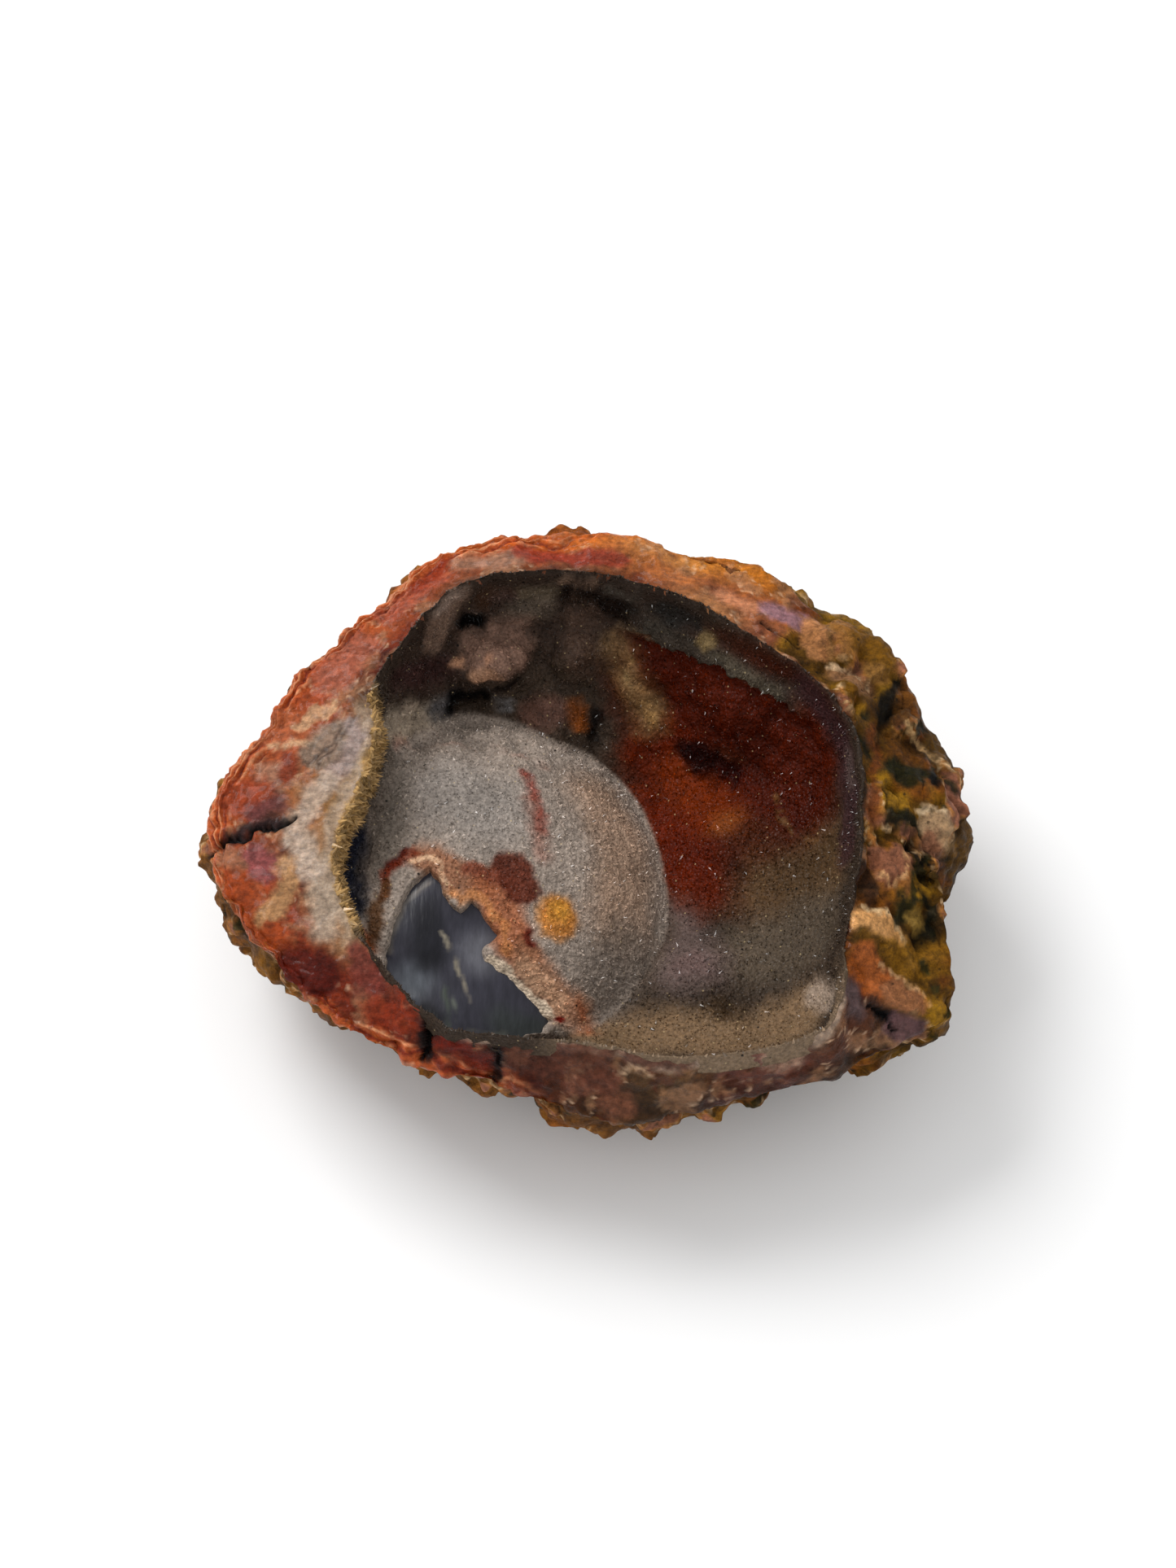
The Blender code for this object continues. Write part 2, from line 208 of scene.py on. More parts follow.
FACE_STAINS = (
    # left of the hollow
    ("AA6946", 3, 1, 0.9, ((-40.5, 11), (-38, 10.5))),  # red above the flakes
    ("AA6E5A", 2.4, 0.9, 0.85, ((-33, 17.6), (-29.6, 21.6))),  # salmon, far left
    ("C4A486", 0.8, 0.25, 0.9, ((-38, 10.6), (-35.5, 12.2), (-33, 13.4))),  # cream flakes
    ("C4A486", 0.6, 0.25, 0.9, ((-41, 8.4), (-38, 8.2), (-35.5, 8.6))),
    ("948679", 2.6, 0.6, 0.9, ((-34.5, 6.5), (-32.5, 9))),  # grey flake with diagonal scratches
    ("5A4A42", 0.25, 0.2, 0.8, ((-36, 5), (-33.5, 7.2), (-31.5, 10))),
    ("5A4A42", 0.25, 0.2, 0.8, ((-34.8, 4.6), (-32.6, 7), (-31, 9))),
    ("A98672", 1.8, 0.6, 0.8, ((-41.4, 4), (-40.6, 3))),  # tan flake
    ("8C4830", 1.2, 0.4, 0.9, ((-38.6, 6), (-38.4, 4))),  # red between the flakes
    ("9D4F2C", 2.6, 0.8, 0.9, ((-45, 1.2), (-42.5, 1.4))),  # red by the rim
    ("704A4E", 1.4, 0.8, 0.8, ((-42.5, -0.8), (-39.5, -0.2))),  # mauve above the crack
    ("A0928E", 1.2, 0.5, 0.9, ((-30.3, 10.2), (-29.5, 8), (-31, 5), (-33.4, 2))),  # lilac band
    ("B4A598", 1.6, 0.5, 0.9, ((-33.4, 2), (-36.6, -1.6), (-38, -3.6), (-36.6, -6.4), (-34.8, -10))),
    ("B0A294", 1.8, 1, 0.9, ((-33.4, -13), (-33, -17))),  # its pale lower end
    ("945A5C", 2, 0.6, 0.9, ((-42.2, -7.6), (-41, -9))),  # rose below the crack
    ("A27A62", 1.2, 0.5, 0.8, ((-46, -6.4), (-44.6, -8))),  # tan flake by the rind
    ("A05428", 2.6, 1, 0.9, ((-45, -11), (-42.6, -16), (-39.6, -19))),  # orange-red face
    ("B0906C", 1.4, 0.5, 0.9, ((-38.4, -8.8), (-37.6, -11.4), (-39.4, -13.6), (-41, -14.6))),  # cream flakes
    ("631F06", 2.8, 1, 0.95, ((-37.5, -22), (-34, -22.6))),  # brown patch
    ("82453B", 2, 0.9, 0.9, ((-28.6, -21.6), (-27, -24))),  # rose-red by the window
    ("8E3E1C", 1.6, 0.8, 0.9, ((-26.6, -27.6), (-23, -29.2))),  # orange-red below it
    ("322F36", 0.8, 0.7, 0.9, ((-46, -4.2), (-44, -3.8), (-42, -2.8), (-39.4, -2.8))),  # dark blue-grey painted shade along the crack
    # far side
    ("A6604A", 1.6, 0.7, 0.8, ((-26.5, 26.5), (-20, 31.5))),  # pink streak
    ("8E380A", 1.2, 0.6, 0.8, ((-22.5, 30.5), (-19, 33.5))),
    ("A5826E", 1.4, 0.7, 0.9, ((-17, 33.5), (-9, 33.6))),  # grey flakes
    ("9A4432", 1.2, 0.5, 0.8, ((-8.5, 34.8), (4, 33.6))),  # red streak
    ("B47848", 1, 0.5, 0.8, ((9, 31.6), (14, 30.6))),
    ("C08C6C", 1.1, 0.5, 0.9, ((18, 28.6), (21.5, 26.6))),  # peach flakes
    ("A0808A", 1.5, 0.5, 0.9, ((23.5, 26.6), (28, 25.6))),  # lilac corner
    # near side
    ("0E0606", 0.9, 0.5, 0.9, ((-20, -29.6), (-20.2, -32.6))),  # blue-black painted shade in the near cracks
    ("140A0C", 0.8, 0.4, 0.9, ((-11.5, -33.2), (-11.2, -34.8))),
    ("732305", 1.2, 0.7, 0.8, ((-18, -32), (-13.5, -34))),  # orange-red
    ("6C4639", 1.3, 0.8, 0.8, ((-9, -33.4), (-4, -34.6))),  # mauve
    ("7A5040", 1.2, 0.6, 0.8, ((-2, -36.6), (3, -36.6))),
    ("6E4636", 1.3, 0.8, 0.85, ((-2.6, -34), (2, -34.4))),  # reddish brown between them
    ("805844", 1.2, 0.6, 0.85, ((2.6, -38.8), (5, -38.8))),
    ("653D31", 1.1, 0.7, 0.8, ((5, -34.4), (12, -35))),  # rose flakes
    ("70433A", 1.4, 0.7, 0.8, ((17, -34.6), (26, -33.4))),
    ("A68E7E", 1.4, 0.5, 0.9, ((22.6, -33.6), (25.6, -33.2))),  # paler
    ("C0A890", 0.2, 0.2, 0.8, ((4, -36), (6.5, -35.4), (8, -36.4))),  # thin cream line
    # crust on the right
    ("B88A60", 1.9, 0.3, 0.95, ((29.4, 24.6), (30.1, 21.8))),  # peach facets by the hollow
    ("9A794E", 0.5, 0.3, 0.8, ((31.4, 24.6), (31.6, 20.8))),
    ("AA7F47", 1.8, 0.4, 0.9, ((33.2, 25.4), (34, 22.4))),
    ("8E6A1C", 2.6, 0.6, 0.9, ((36.5, 23.8), (38.2, 21))),  # olive-gold knob
    ("A4805F", 1.7, 0.4, 0.95, ((33, 17.7), (35.7, 16.4))),  # cream chips
    ("DCC3A4", 0.25, 0.15, 0.9, ((31.6, 19.2), (33.4, 19.4), (35.2, 17.8), (36.6, 17.2))),
    ("A4804C", 1.3, 0.4, 0.9, ((37.3, 19.2),)),
    ("5D3E0F", 2, 0.6, 0.85, ((38, 13.2), (40.4, 14.2))),  # dark saddle
    ("201E12", 0.9, 0.4, 0.9, ((39.7, 18.1), (38, 12.6))),
    ("C8AA80", 0.45, 0.25, 0.9, ((41.3, 12.8), (43.6, 10.4), (45.6, 8.6))),  # light crest beyond it
    ("765008", 2, 0.9, 0.8, ((40.2, 9.2), (41.8, 7.6))),  # yellow moss
    ("2A320E", 1.9, 0.5, 0.9, ((39.8, 5.2), (41.6, 4.6))),  # dark green patch
    ("161615", 0.8, 0.3, 0.95, ((44.6, 5.2), (44.6, 4))),
    ("8A5526", 0.7, 0.4, 0.85, ((36.6, 11), (37, 6.8), (36.6, 2.3), (36.2, -2.8))),  # orange by the hollow
    ("262C16", 1.2, 0.4, 0.9, ((38.4, -2.6), (41.4, -1.8))),
    ("C4AA8C", 1.5, 0.4, 0.9, ((43.9, -1.4), (46, -2.4))),  # pale cluster
    ("A0765E", 1.4, 0.4, 0.9, ((43.9, -3.4), (45, -4.6))),
    ("E2CDB0", 0.35, 0.2, 0.9, ((42.6, 0.2), (44.2, 0.6), (45.6, -0.6))),
    ("1C140C", 0.4, 0.25, 0.95, ((41, -4.3), (42.9, -6.6), (45, -7), (46.8, -6))),  # groove
    ("B07C48", 2.7, 0.4, 0.9, ((38, -8.2), (38.4, -9.4))),  # orange rim of the mauve chip
    ("A2745C", 1.7, 0.25, 0.95, ((37, -7.6), (39.8, -7.2), (38.5, -10))),  # mauve chip
    ("E0B98C", 0.2, 0.15, 0.9, ((37.2, -10.2), (38.7, -11.6), (40.4, -10), (40.8, -7), (39.6, -5.4))),
    ("452C16", 1.5, 0.4, 0.9, ((35, -10.4), (35.4, -12.8))),
    ("DCB07C", 1.6, 0.3, 0.95, ((34.4, -16.6), (36.4, -16.6), (38.6, -17.2))),  # cream-orange chip
    ("E6CFAA", 0.25, 0.15, 0.9, ((34, -15), (36.4, -14.8), (38.8, -15.8), (40, -17.4))),
    ("2E3418", 1, 0.4, 0.85, ((40.4, -12.9), (39.4, -15.6))),  # dark green ring
    ("2A2A16", 0.7, 0.3, 0.9, ((41.7, -17.5), (43.3, -15), (43.3, -11.8))),
    ("A88E50", 1.1, 0.4, 0.9, ((41.6, -14.4),)),
    ("A07A28", 2.2, 0.9, 0.85, ((39.6, -20.2), (44, -18.6))),  # olive-gold below it
    ("A6621E", 1.2, 0.5, 0.9, ((33.6, -22.6), (34.8, -24.2))),  # orange by the hollow
    ("B3713E", 1.8, 0.4, 0.95, ((35, -21.2), (36.4, -23.6))),  # orange chips
    ("A87A58", 1.6, 0.3, 0.95, ((38.6, -24.4), (40.8, -25))),
    ("D8B48C", 0.25, 0.15, 0.9, ((36.8, -21.4), (38.6, -22.6), (40.6, -22.8), (42.6, -24.4))),
    ("4C4A2A", 0.7, 0.2, 0.9, ((42.4, -20),)),  # green spots
    ("4A4826", 0.7, 0.2, 0.9, ((43.5, -23),)),
    ("6A5A5C", 1.3, 0.5, 0.9, ((32.6, -25.6), (33.6, -27.8))),  # mauve-grey
    ("060408", 0.85, 0.35, 1, ((36.4, -27), (37.4, -27.2))),  # black painted shade in the crack's hole
    ("6E565A", 1.7, 0.5, 0.9, ((38.8, -28.4), (40.8, -28.6))),  # lilac
    ("4E2B22", 0.9, 0.4, 0.9, ((31, -21), (32, -18.6))),  # dark red lip
)
SKIN_STAINS = (
    ("B4661C", 3.5, 2, 0.7, ((-16, 36, 33), (-6, 38, 33), (4, 39, 33))),  # ochre knobs
    ("B87C40", 3, 2, 0.7, ((10, 36, 33), (20, 35, 33))),
    ("3A2A10", 4, 2.5, 0.6, ((10, -40, 19), (24, -37, 20))),  # dark crust, low side
    ("705024", 4, 2.5, 0.6, ((-6, -40, 20), (4, -41, 19))),
    ("7A3A1C", 3, 2, 0.6, ((-22, -32, 22), (-30, -28, 22))),
)
WINDOW_STAINS = (
    ("74787E", 2.4, 2, 0.9, ((-22.2, -21.4, 23),)),  # milky clouds
    ("7C7C82", 2.6, 2, 0.85, ((-13.8, -17.8, 24),)),
    ("2A2A30", 2.2, 1.5, 0.8, ((-20.5, -13, 25), (-20, -18, 24.5))),
    ("4A504C", 2, 1.5, 0.7, ((-11, -26.5, 21), (-6, -27, 19))),  # greenish near end
    ("8E8780", 0.4, 0.35, 0.9, ((-25.2, -17.5, 23.4), (-24.4, -13.4, 24.8), (-22.8, -10.8, 25.4),
                               (-20.6, -8.6, 26))),  # pale band along the left side
    ("9C9484", 0.2, 0.16, 0.95, ((-18.6, -15, 25), (-16.9, -18.5, 24.2), (-15.8, -22, 23.3),
                                 (-14.4, -25.6, 22.4))),  # thin veins
    ("5E665A", 0.35, 0.35, 0.8, ((-18, -22.4, 23), (-17.7, -27.2, 22.2))),
    ("7C8076", 0.18, 0.14, 0.9, ((-17.2, -23.6, 23), (-16.6, -26.8, 22.3))),
    ("0C0C0E", 1.2, 1, 0.9, ((-19.6, -27, 23), (-20.6, -25.6, 23))),  # dark corner
    ("8C8A7A", 0.35, 0.3, 0.8, ((-15, -28, 22.6), (-9, -28.2, 21), (-4, -27.4, 19))),  # near edge
)
WALL_STAINS = (
    ("4C3E36", 7.5, 3, 0.9, ((-21, 23, 30), (-11, 29, 31), (0, 30, 31), (9, 28, 31))),
    ("4A3230", 2, 1.4, 0.8, ((-24.5, 19.5, 31), (-19.5, 22.5, 27.5))),  # mauve-brown above the lobe
    ("AC9E8E", 2.6, 1.4, 0.9, ((-28, 12.5, 28), (-24, 15.5, 25), (-20, 17.5, 23))),  # grey-tan there
    ("8A7466", 1.9, 0.8, 0.85, ((-20.6, 25, 31.5), (-19.2, 27, 34.5), (-17, 28.4, 35.5))),  # pale druse
    ("A8968A", 0.9, 0.6, 0.8, ((-19.6, 27, 35.4), (-16.6, 29, 36))),
    ("5A4232", 1.5, 0.7, 0.8, ((-13.5, 29.6, 33.5), (-10, 30.6, 33.5))),  # brown patch
    ("746858", 1.5, 0.8, 0.8, ((-8.5, 30.6, 33.5), (-5.5, 30.8, 33.5))),  # olive-grey
    ("6C6156", 1.8, 1, 0.8, ((-9.5, 29, 31), (-5, 29.6, 31.5))),
    ("8A7464", 1, 0.5, 0.85, ((-3.6, 31.6, 35.4), (0.6, 31.6, 35.4))),  # tan crust under the far rim
    ("251A14", 1.7, 0.9, 0.9, ((-2.6, 30.6, 33), (2, 30.2, 32.4), (6, 28.6, 31.6))),  # dark band
    ("6A645C", 1.2, 0.7, 0.8, ((3, 31.2, 34.8), (6, 30.4, 34.4))),
    ("876E61", 4, 1.2, 0.95, ((-13, 25.2, 28.5), (-9.8, 25.4, 29))),  # brown bump
    ("B48E74", 0.9, 0.6, 0.85, ((-17, 23.6, 27.7),)),  # peach spots on it
    ("B08A72", 0.8, 0.6, 0.8, ((-13, 23.4, 28.8),)),
    ("AC8A72", 1.1, 0.7, 0.85, ((-14.8, 21.8, 27), (-12.6, 21.4, 27.2))),
    ("604E43", 2.5, 1.3, 0.9, ((-1.6, 28.6, 31), (-1, 26.2, 28.6), (0.4, 24, 26.4))),  # grey bump
    ("5E5C5E", 1.8, 1, 0.9, ((-19.6, 18.8, 23.5), (-17.6, 19.6, 23))),  # bluish dark
    ("787676", 1.4, 0.8, 0.9, ((-11.2, 20.6, 21.5),)),  # bluish lower neighbour
    ("71564B", 2.4, 1.2, 0.9, ((-7, 20, 21), (-4.6, 20, 21))),
    ("8A5220", 1.7, 0.9, 0.85, ((-1.2, 20.6, 21.5), (-0.4, 18.6, 20))),  # orange-brown
    ("020203", 1.5, 0.6, 1, ((-16.6, 28.2, 30.6), (-14.4, 28.2, 30.4))),  # black holes: painted shade in the hollows beside and under the brown bump
    ("010105", 1.9, 0.7, 1, ((-17.2, 20.6, 22.9), (-14.6, 21.2, 22.4))),
    ("1E1412", 0.6, 0.4, 0.9, ((-12.4, 22, 23.4), (-9, 22.6, 24))),
    ("2A221E", 0.6, 0.4, 0.9, ((-4.6, 25.8, 28),)),
    ("120A08", 1.1, 0.7, 0.95, ((1.6, 22.6, 22.4), (1.4, 20.4, 19.6), (1, 17.6, 18))),
    ("5A2202", 9, 3, 1, ((11, 21, 25), (19, 18, 27), (26, 14, 27), (25, 6, 20),
                               (16, 6, 16))),  # rust
    ("712C02", 5.5, 2.5, 0.9, ((9, 15, 17), (11, 6, 14), (14, -3, 14))),  # orange-brown
    ("7E3A08", 3.6, 2.2, 0.9, ((12.6, 13, 15.5), (15, 10, 17), (17, 7, 17.6))),  # orange on the rust bump
    ("945A2C", 2.2, 1.8, 0.8, ((18.5, 4.6, 18),)),  # its grey top
    ("380A04", 1.5, 1.1, 0.85, ((14, 16, 18), (17.5, 14.5, 17.5), (20, 12, 17.5))),  # crease: dark red-brown painted shadow under the ridge, over the rust
    ("5B341D", 4, 2.5, 0.8, ((22, 1, 17.5), (22, -6, 16.5))),
    ("2C1408", 1.6, 1.2, 0.7, ((19.5, -1.5, 16),)),
    ("8E7656", 2.4, 1.8, 0.8, ((3.4, 25.4, 27.6), (5.2, 22.8, 24.5), (8.4, 20.4, 19.4))),  # speckled ridge
    ("B49C74", 0.8, 0.7, 0.75, ((3.2, 25.8, 28), (3.6, 24.8, 26.8))),
    ("A88A5E", 0.8, 0.6, 0.75, ((5.6, 24.6, 26.4),)),
    ("B49C74", 0.8, 0.6, 0.75, ((4.6, 23, 24.8), (5.4, 22, 23.8))),
    ("A88660", 0.8, 0.6, 0.7, ((7.4, 22.4, 22.8),)),
    ("AC8C60", 0.9, 0.7, 0.7, ((7.2, 20.6, 20.8), (8.8, 19.8, 19))),
    ("7C5C36", 0.6, 0.5, 0.6, ((10.4, 20.6, 19.6),)),
    ("7E6C56", 1.1, 0.6, 0.7, ((4.4, 27.6, 30), (7.6, 26, 29.4))),
    ("6C563E", 5.5, 3, 0.9, ((30, -4, 23), (25, -6, 18))),  # warm grey, right
    ("6C6053", 5.5, 3, 0.9, ((29, -13, 21), (22, -14.5, 16))),  # cooler grey, right
    ("523A3C", 2.4, 1.4, 0.85, ((28.5, 17, 33), (33, 9, 30), (34, 0, 28), (33, -4, 27))),
    ("6E5E5A", 1.4, 0.9, 0.8, ((33.8, 7.4, 30.2), (34, 4.4, 29.4))),  # greyer towards its near end
    ("2C0C08", 1.6, 1, 0.85, ((12.4, 16, 18), (14.6, 14.6, 17))),  # painted shade at the foot of the shoulder
    ("4A3226", 1.1, 0.7, 0.7, ((24.4, 18.6, 31.2), (26.6, 17.4, 31.4))),
    ("62504A", 1.2, 0.7, 0.8, ((-11.6, 30.2, 33.2), (-10.4, 30.6, 32.6))),  # tan under the far rim
    ("7A5C3C", 0.45, 0.35, 0.85, ((25, 7.5, 19.5), (25.8, 3.5, 19.2), (27.4, 1.2, 19.6), (30, 0, 21.5))),
    ("776863", 5, 2.5, 0.9, ((10, -9.5, 13.6), (13, -16, 18))),  # lavender bump
    ("7E6A66", 2.8, 1.8, 0.7, ((13.5, -16.5, 18.5),)),
    ("907960", 4, 2.4, 0.9, ((2, -26, 18), (10, -27, 18), (20, -27.5, 19.5), (27, -25, 21))),
    ("40301E", 1.6, 1.4, 0.8, ((14.5, -23, 17.5), (17.5, -23.5, 18.5))),  # painted shade in the dip behind it
    ("A8988A", 1.8, 1, 0.85, ((29, -22.6, 22.5), (30.5, -24.5, 24))),  # whitish corner
    ("64564B", 2.2, 1.6, 0.8, ((8.5, -5, 13.6), (9.5, -10, 13.4), (6.5, -17, 15.5))),  # darker grey painted shade on the lobe's lower right foot
)
LOBE_STAINS = (
    ("9C958F", 6, 4, 0.8, ((-18, 5, 27), (-13, 2, 27))),  # palest, bluish
    ("7E756C", 3.5, 2.5, 0.8, ((-27, 8, 26), (-26.5, 0, 27), (-26.5, -5, 26.8))),
    ("AD927D", 5, 3, 0.7, ((2, 8, 20), (5, 0, 19), (4, -10, 19))),  # browner flank
    ("81766D", 4, 2.5, 0.7, ((5, -14, 17.5), (1, -20, 18))),
    ("6E6056", 2.4, 1.6, 0.5, ((-28, 8, 26), (-29, 0, 27), (-29.5, -8, 26))),  # shaded left
    ("252938", 1.8, 1, 0.95, ((-29.6, -2.6, 27.5), (-30.6, -8, 27), (-29.8, -12, 26.5))),  # dark navy painted shade on the steep left wall
    ("A0786A", 0.8, 0.8, 0.55, ((-25, 12.8, 25), (-20, 14.6, 24), (-11, 13.4, 24), (-5, 11.4, 22.5))),
    ("8E311F", 0.7, 0.9, 0.85, ((-7.8, 8.8, 24), (-6.4, 3.5, 25), (-6, 0, 25))),  # red streak
    ("9A6858", 1.2, 1.2, 0.5, ((-7.4, 4, 25), (-6, -4, 25))),
    ("9A7056", 2.4, 1, 0.9, ((-20.5, -6, 27.5), (-17, -8.5, 27), (-14.5, -9.6, 27))),  # peach band
    ("A87050", 2.8, 1.2, 0.9, ((-12, -9.5, 26.8), (-11, -14, 26), (-8.6, -18, 24.6))),
    ("A98066", 2.4, 1.2, 0.85, ((-8, -19, 24), (-4, -22.5, 21), (-0.5, -24.5, 18.6))),
    ("6F3C2B", 2.6, 0.6, 0.95, ((-10, -7.2, 26.6), (-8.6, -9.4, 26.4))),  # brown patch
    ("8A5440", 1.3, 0.6, 0.9, ((-14.6, -7.6, 27), (-12.6, -8.2, 27))),
    ("54190C", 0.8, 0.5, 0.95, ((-25.4, -6.6, 26.8), (-23.4, -5, 27.1))),  # dark red corner
    ("7A3418", 0.8, 0.5, 0.9, ((-21.8, -4.9, 27.2), (-25.6, -7.4, 26.8), (-26.4, -11, 26.6))),
    ("6A4A2C", 1, 0.6, 0.9, ((-26, -9.5, 26.6), (-27, -13, 26), (-27.6, -17, 25))),
    ("D2B498", 0.45, 0.25, 0.9, ((-22.6, -6.6, 27.1), (-20.4, -5.4, 27.6), (-19, -7.2, 27.2),
                                 (-17.4, -10.6, 26.8))),  # its cream edge
    ("C69062", 0.7, 0.5, 0.8, ((-17.6, -10.4, 26.8), (-16.2, -12.2, 26.6), (-14.6, -10.8, 26.7),
                               (-12.6, -12.2, 26.2), (-10.6, -15, 25.4), (-10.4, -18, 24.8))),
    ("C48A44", 3, 0.9, 0.9, ((-3.9, -12.4, 23.8),)),  # yellow spot
    ("D2A04C", 1.6, 0.9, 0.8, ((-3.6, -11.6, 23.8),)),
    ("6A2414", 0.7, 0.4, 0.9, ((-7.8, -14.8, 24.8), (-6.8, -16.4, 24.4))),  # dark red by it
    ("EEDCC6", 1.1, 0.12, 0.95, ((-12.6, -19.4, 24), (-11.4, -20.3, 23.4), (-8.8, -22.4, 22),
                                 (-5.6, -24.6, 20))),  # cream ledge
    ("C6A489", 1.5, 0.8, 0.8, ((-8.4, -19.6, 24), (-3.6, -22.8, 20.6))),
    ("7E1E12", 0.14, 0.12, 0.95, ((-9.6, -20.8, 23.4), (-7.4, -22.4, 22.4), (-5.4, -23.6, 21.2))),  # red line
    ("8A2010", 0.55, 0.2, 0.95, ((-3.5, -24.9, 19.8),)),  # red dot
    ("A0603C", 0.8, 0.7, 0.6, ((-1, -23, 18.6), (0.6, -26, 18))),
    ("90542C", 1, 0.8, 0.8, ((-27.6, -18, 25), (-29, -16, 26))),
)
BAND_STAINS = (
    ("8A7858", 1.4, 0.6, 0.9, ((15.6, 24.4, 31.5),)),  # cream knob
    ("353432", 1.6, 1.2, 0.8, ((10, 28, 33.5), (14, 26.6, 33))),
    ("6A6254", 1.4, 0.8, 0.6, ((17, 21.5, 31), (24, 17, 30.5))),
)


# --- numbers and shapes ---


def around(stations, angle):
    """The stations' value at each angle, by a smooth closed Catmull-Rom curve through them."""
    values = np.array(stations, float)
    place = (angle / math.tau * len(values)) % len(values)
    first = np.floor(place).astype(int)
    t = place - first
    if values.ndim > 1:
        t = t[:, None]
    before, here, after, beyond = (values[(first + k) % len(values)] for k in (-1, 0, 1, 2))
    pull = 2 * before - 5 * here + 4 * after - beyond
    return here + 0.5 * t * (after - before + t * (pull + t * (3 * (here - after) + beyond - before)))


def at_radius(angle, radius, height):
    """Points at these angles, radii and heights."""
    return np.stack([radius * np.cos(angle), radius * np.sin(angle), height + 0 * angle], axis=1)


def smooth_max(a, b, blend):
    """The larger of the two, rounded where they are close."""
    share = np.clip(0.5 + 0.5 * (a - b) / blend, 0, 1)
    return b + (a - b) * share + blend * share * (1 - share)


def smoothstep(low, high, value):
    """0 up to low, 1 from high on, and a smooth rise between them."""
    t = np.clip((value - low) / (high - low), 0, 1)
    return t * t * (3 - 2 * t)


def grain(points, size, seed, basis="PERLIN_ORIGINAL"):
    """Blender's noise at the points, about -1 to 1, with features of this size."""
    places = (points / size + seed).tolist()
    return np.fromiter((noise.noise(place, noise_basis=basis) for place in places), float, len(places))


def lumps(points, size, seed):
    """Rounded lumps of this size with creases between them: 1 on top, about 0 in the creases."""
    return 0.5 - 0.5 * grain(points, size, seed, "VORONOI_F1")


def jagged(points, reach, size, seed):
    """Points shifted by noise, so that what is drawn from them gets a ragged outline."""
    shift = np.stack([grain(points, size, seed + k) for k in (1.3, 7.7, 13.1)], axis=1)
    return points + reach * shift


def lobe_height(x, y, lobe):
    """Height of one lobe over the plan, far below the floor outside it."""
    middle_x, middle_y, half_length, half_width, turn, foot, top = lobe
    c, s = math.cos(math.radians(turn)), math.sin(math.radians(turn))
    along = ((x - middle_x) * c + (y - middle_y) * s) / half_length
    across = ((y - middle_y) * c - (x - middle_x) * s) / half_width
    distance = np.hypot(along, across)
    foot_level = math.sqrt(1 - LOBE_FLATNESS)
    cap = np.sqrt(1 - LOBE_FLATNESS * np.minimum(distance, 1) ** 2)
    rise = (cap - foot_level) / (1 - foot_level) - np.maximum(distance - 1, 0)
    return foot + (top - foot) * rise


def with_knobs(points, knobs, away):
    """Points pushed along these directions by the knobs near them."""
    away = away / np.linalg.norm(away, axis=1)[:, None]
    moved = points.copy()
    for x, y, z, radius, stand_out in knobs:
        distance = np.linalg.norm(points - np.array((x, y, z)), axis=1) / radius
        moved += away * (stand_out * np.exp(-(distance**2)))[:, None]
    return moved


def hollow_edge(angle):
    """Radius of the hollow's edge, with the small jags of the broken druse."""
    smooth = around(HOLLOW_EDGE_RADIUS, angle)
    ring = at_radius(angle, smooth, 0)
    left = smoothstep(0.2, 0.8, -np.cos(angle))
    return smooth + (0.35 + 0.25 * left) * grain(ring, 2.6, 3.1) + (0.12 + 0.2 * left) * grain(ring, 0.9, 5.2)


def rim_radius(angle):
    """Radius of the stone's rim, with its ragged outline."""
    smooth = around(RIM_RADIUS, angle)
    ring = at_radius(angle, smooth, 0)
    return smooth + 0.7 * grain(ring, 6.5, 8.4) + 0.35 * grain(ring, 2.4, 1.9)


def hollow(angle, share):
    """The hollow's surface at this share of its edge's radius, with its lobes and bumps."""
    radius = hollow_edge(angle) * share
    x, y = radius * np.cos(angle), radius * np.sin(angle)
    edge = FACE_MID_HEIGHT + FACE_RISE * around(HOLLOW_EDGE_RADIUS, angle) * np.sin(angle)
    inside = np.minimum(share, 1)
    wall = 1 - (1 - inside**WALL_ROUNDNESS) ** (1 / WALL_ROUNDNESS)
    bowl = FLOOR_HEIGHT + (edge - FLOOR_HEIGHT) * wall
    height = bowl
    for lobe in LOBES:
        height = smooth_max(height, lobe_height(x, y, lobe), LOBE_BLEND)
    lining = np.stack([x, y, bowl + (height - bowl) * smoothstep(1, 0.93, share)], axis=1)
    bumps = with_knobs(lining, LINING_BUMPS, LINING_AIM - lining) - lining
    return lining + smoothstep(1, 0.88, share)[:, None] * bumps


def polyline_distance(points, corners):
    """Distance from each point to the line through the corners, in as many dimensions as they have."""
    nearest = np.full(len(points), np.inf)
    spots = [np.array(corner, float) for corner in corners]
    for start, end in zip(spots, spots[1:] or spots):
        along = end - start
        t = np.clip((points - start) @ along / max(along @ along, 1e-9), 0, 1)
        nearest = np.minimum(nearest, np.linalg.norm(points - start - t[:, None] * along, axis=1))
    return nearest


def inside_distance(plan, outline):
    """How far each plan point lies inside the closed outline, and below 0 outside it."""
    inside = np.zeros(len(plan), bool)
    for (x0, y0), (x1, y1) in zip(outline, outline[1:] + outline[:1]):
        crosses = (y0 > plan[:, 1]) != (y1 > plan[:, 1])
        slope = (x1 - x0) / (y1 - y0 if y1 != y0 else 1e-9)
        inside ^= crosses & (plan[:, 0] < x0 + (plan[:, 1] - y0) * slope)
    distance = polyline_distance(plan, outline + outline[:1])
    return np.where(inside, distance, -distance)


def between_directions(angle, start, end, soft):
    """1 between two directions in degrees from +X, counted anticlockwise, and 0 well outside them."""
    middle = math.radians((start + end) / 2)
    half = (end - start) / 2
    off = np.abs(np.degrees((angle - middle + math.pi) % math.tau - math.pi))
    return smoothstep(half + soft, half - soft, off)


# --- meshes ---


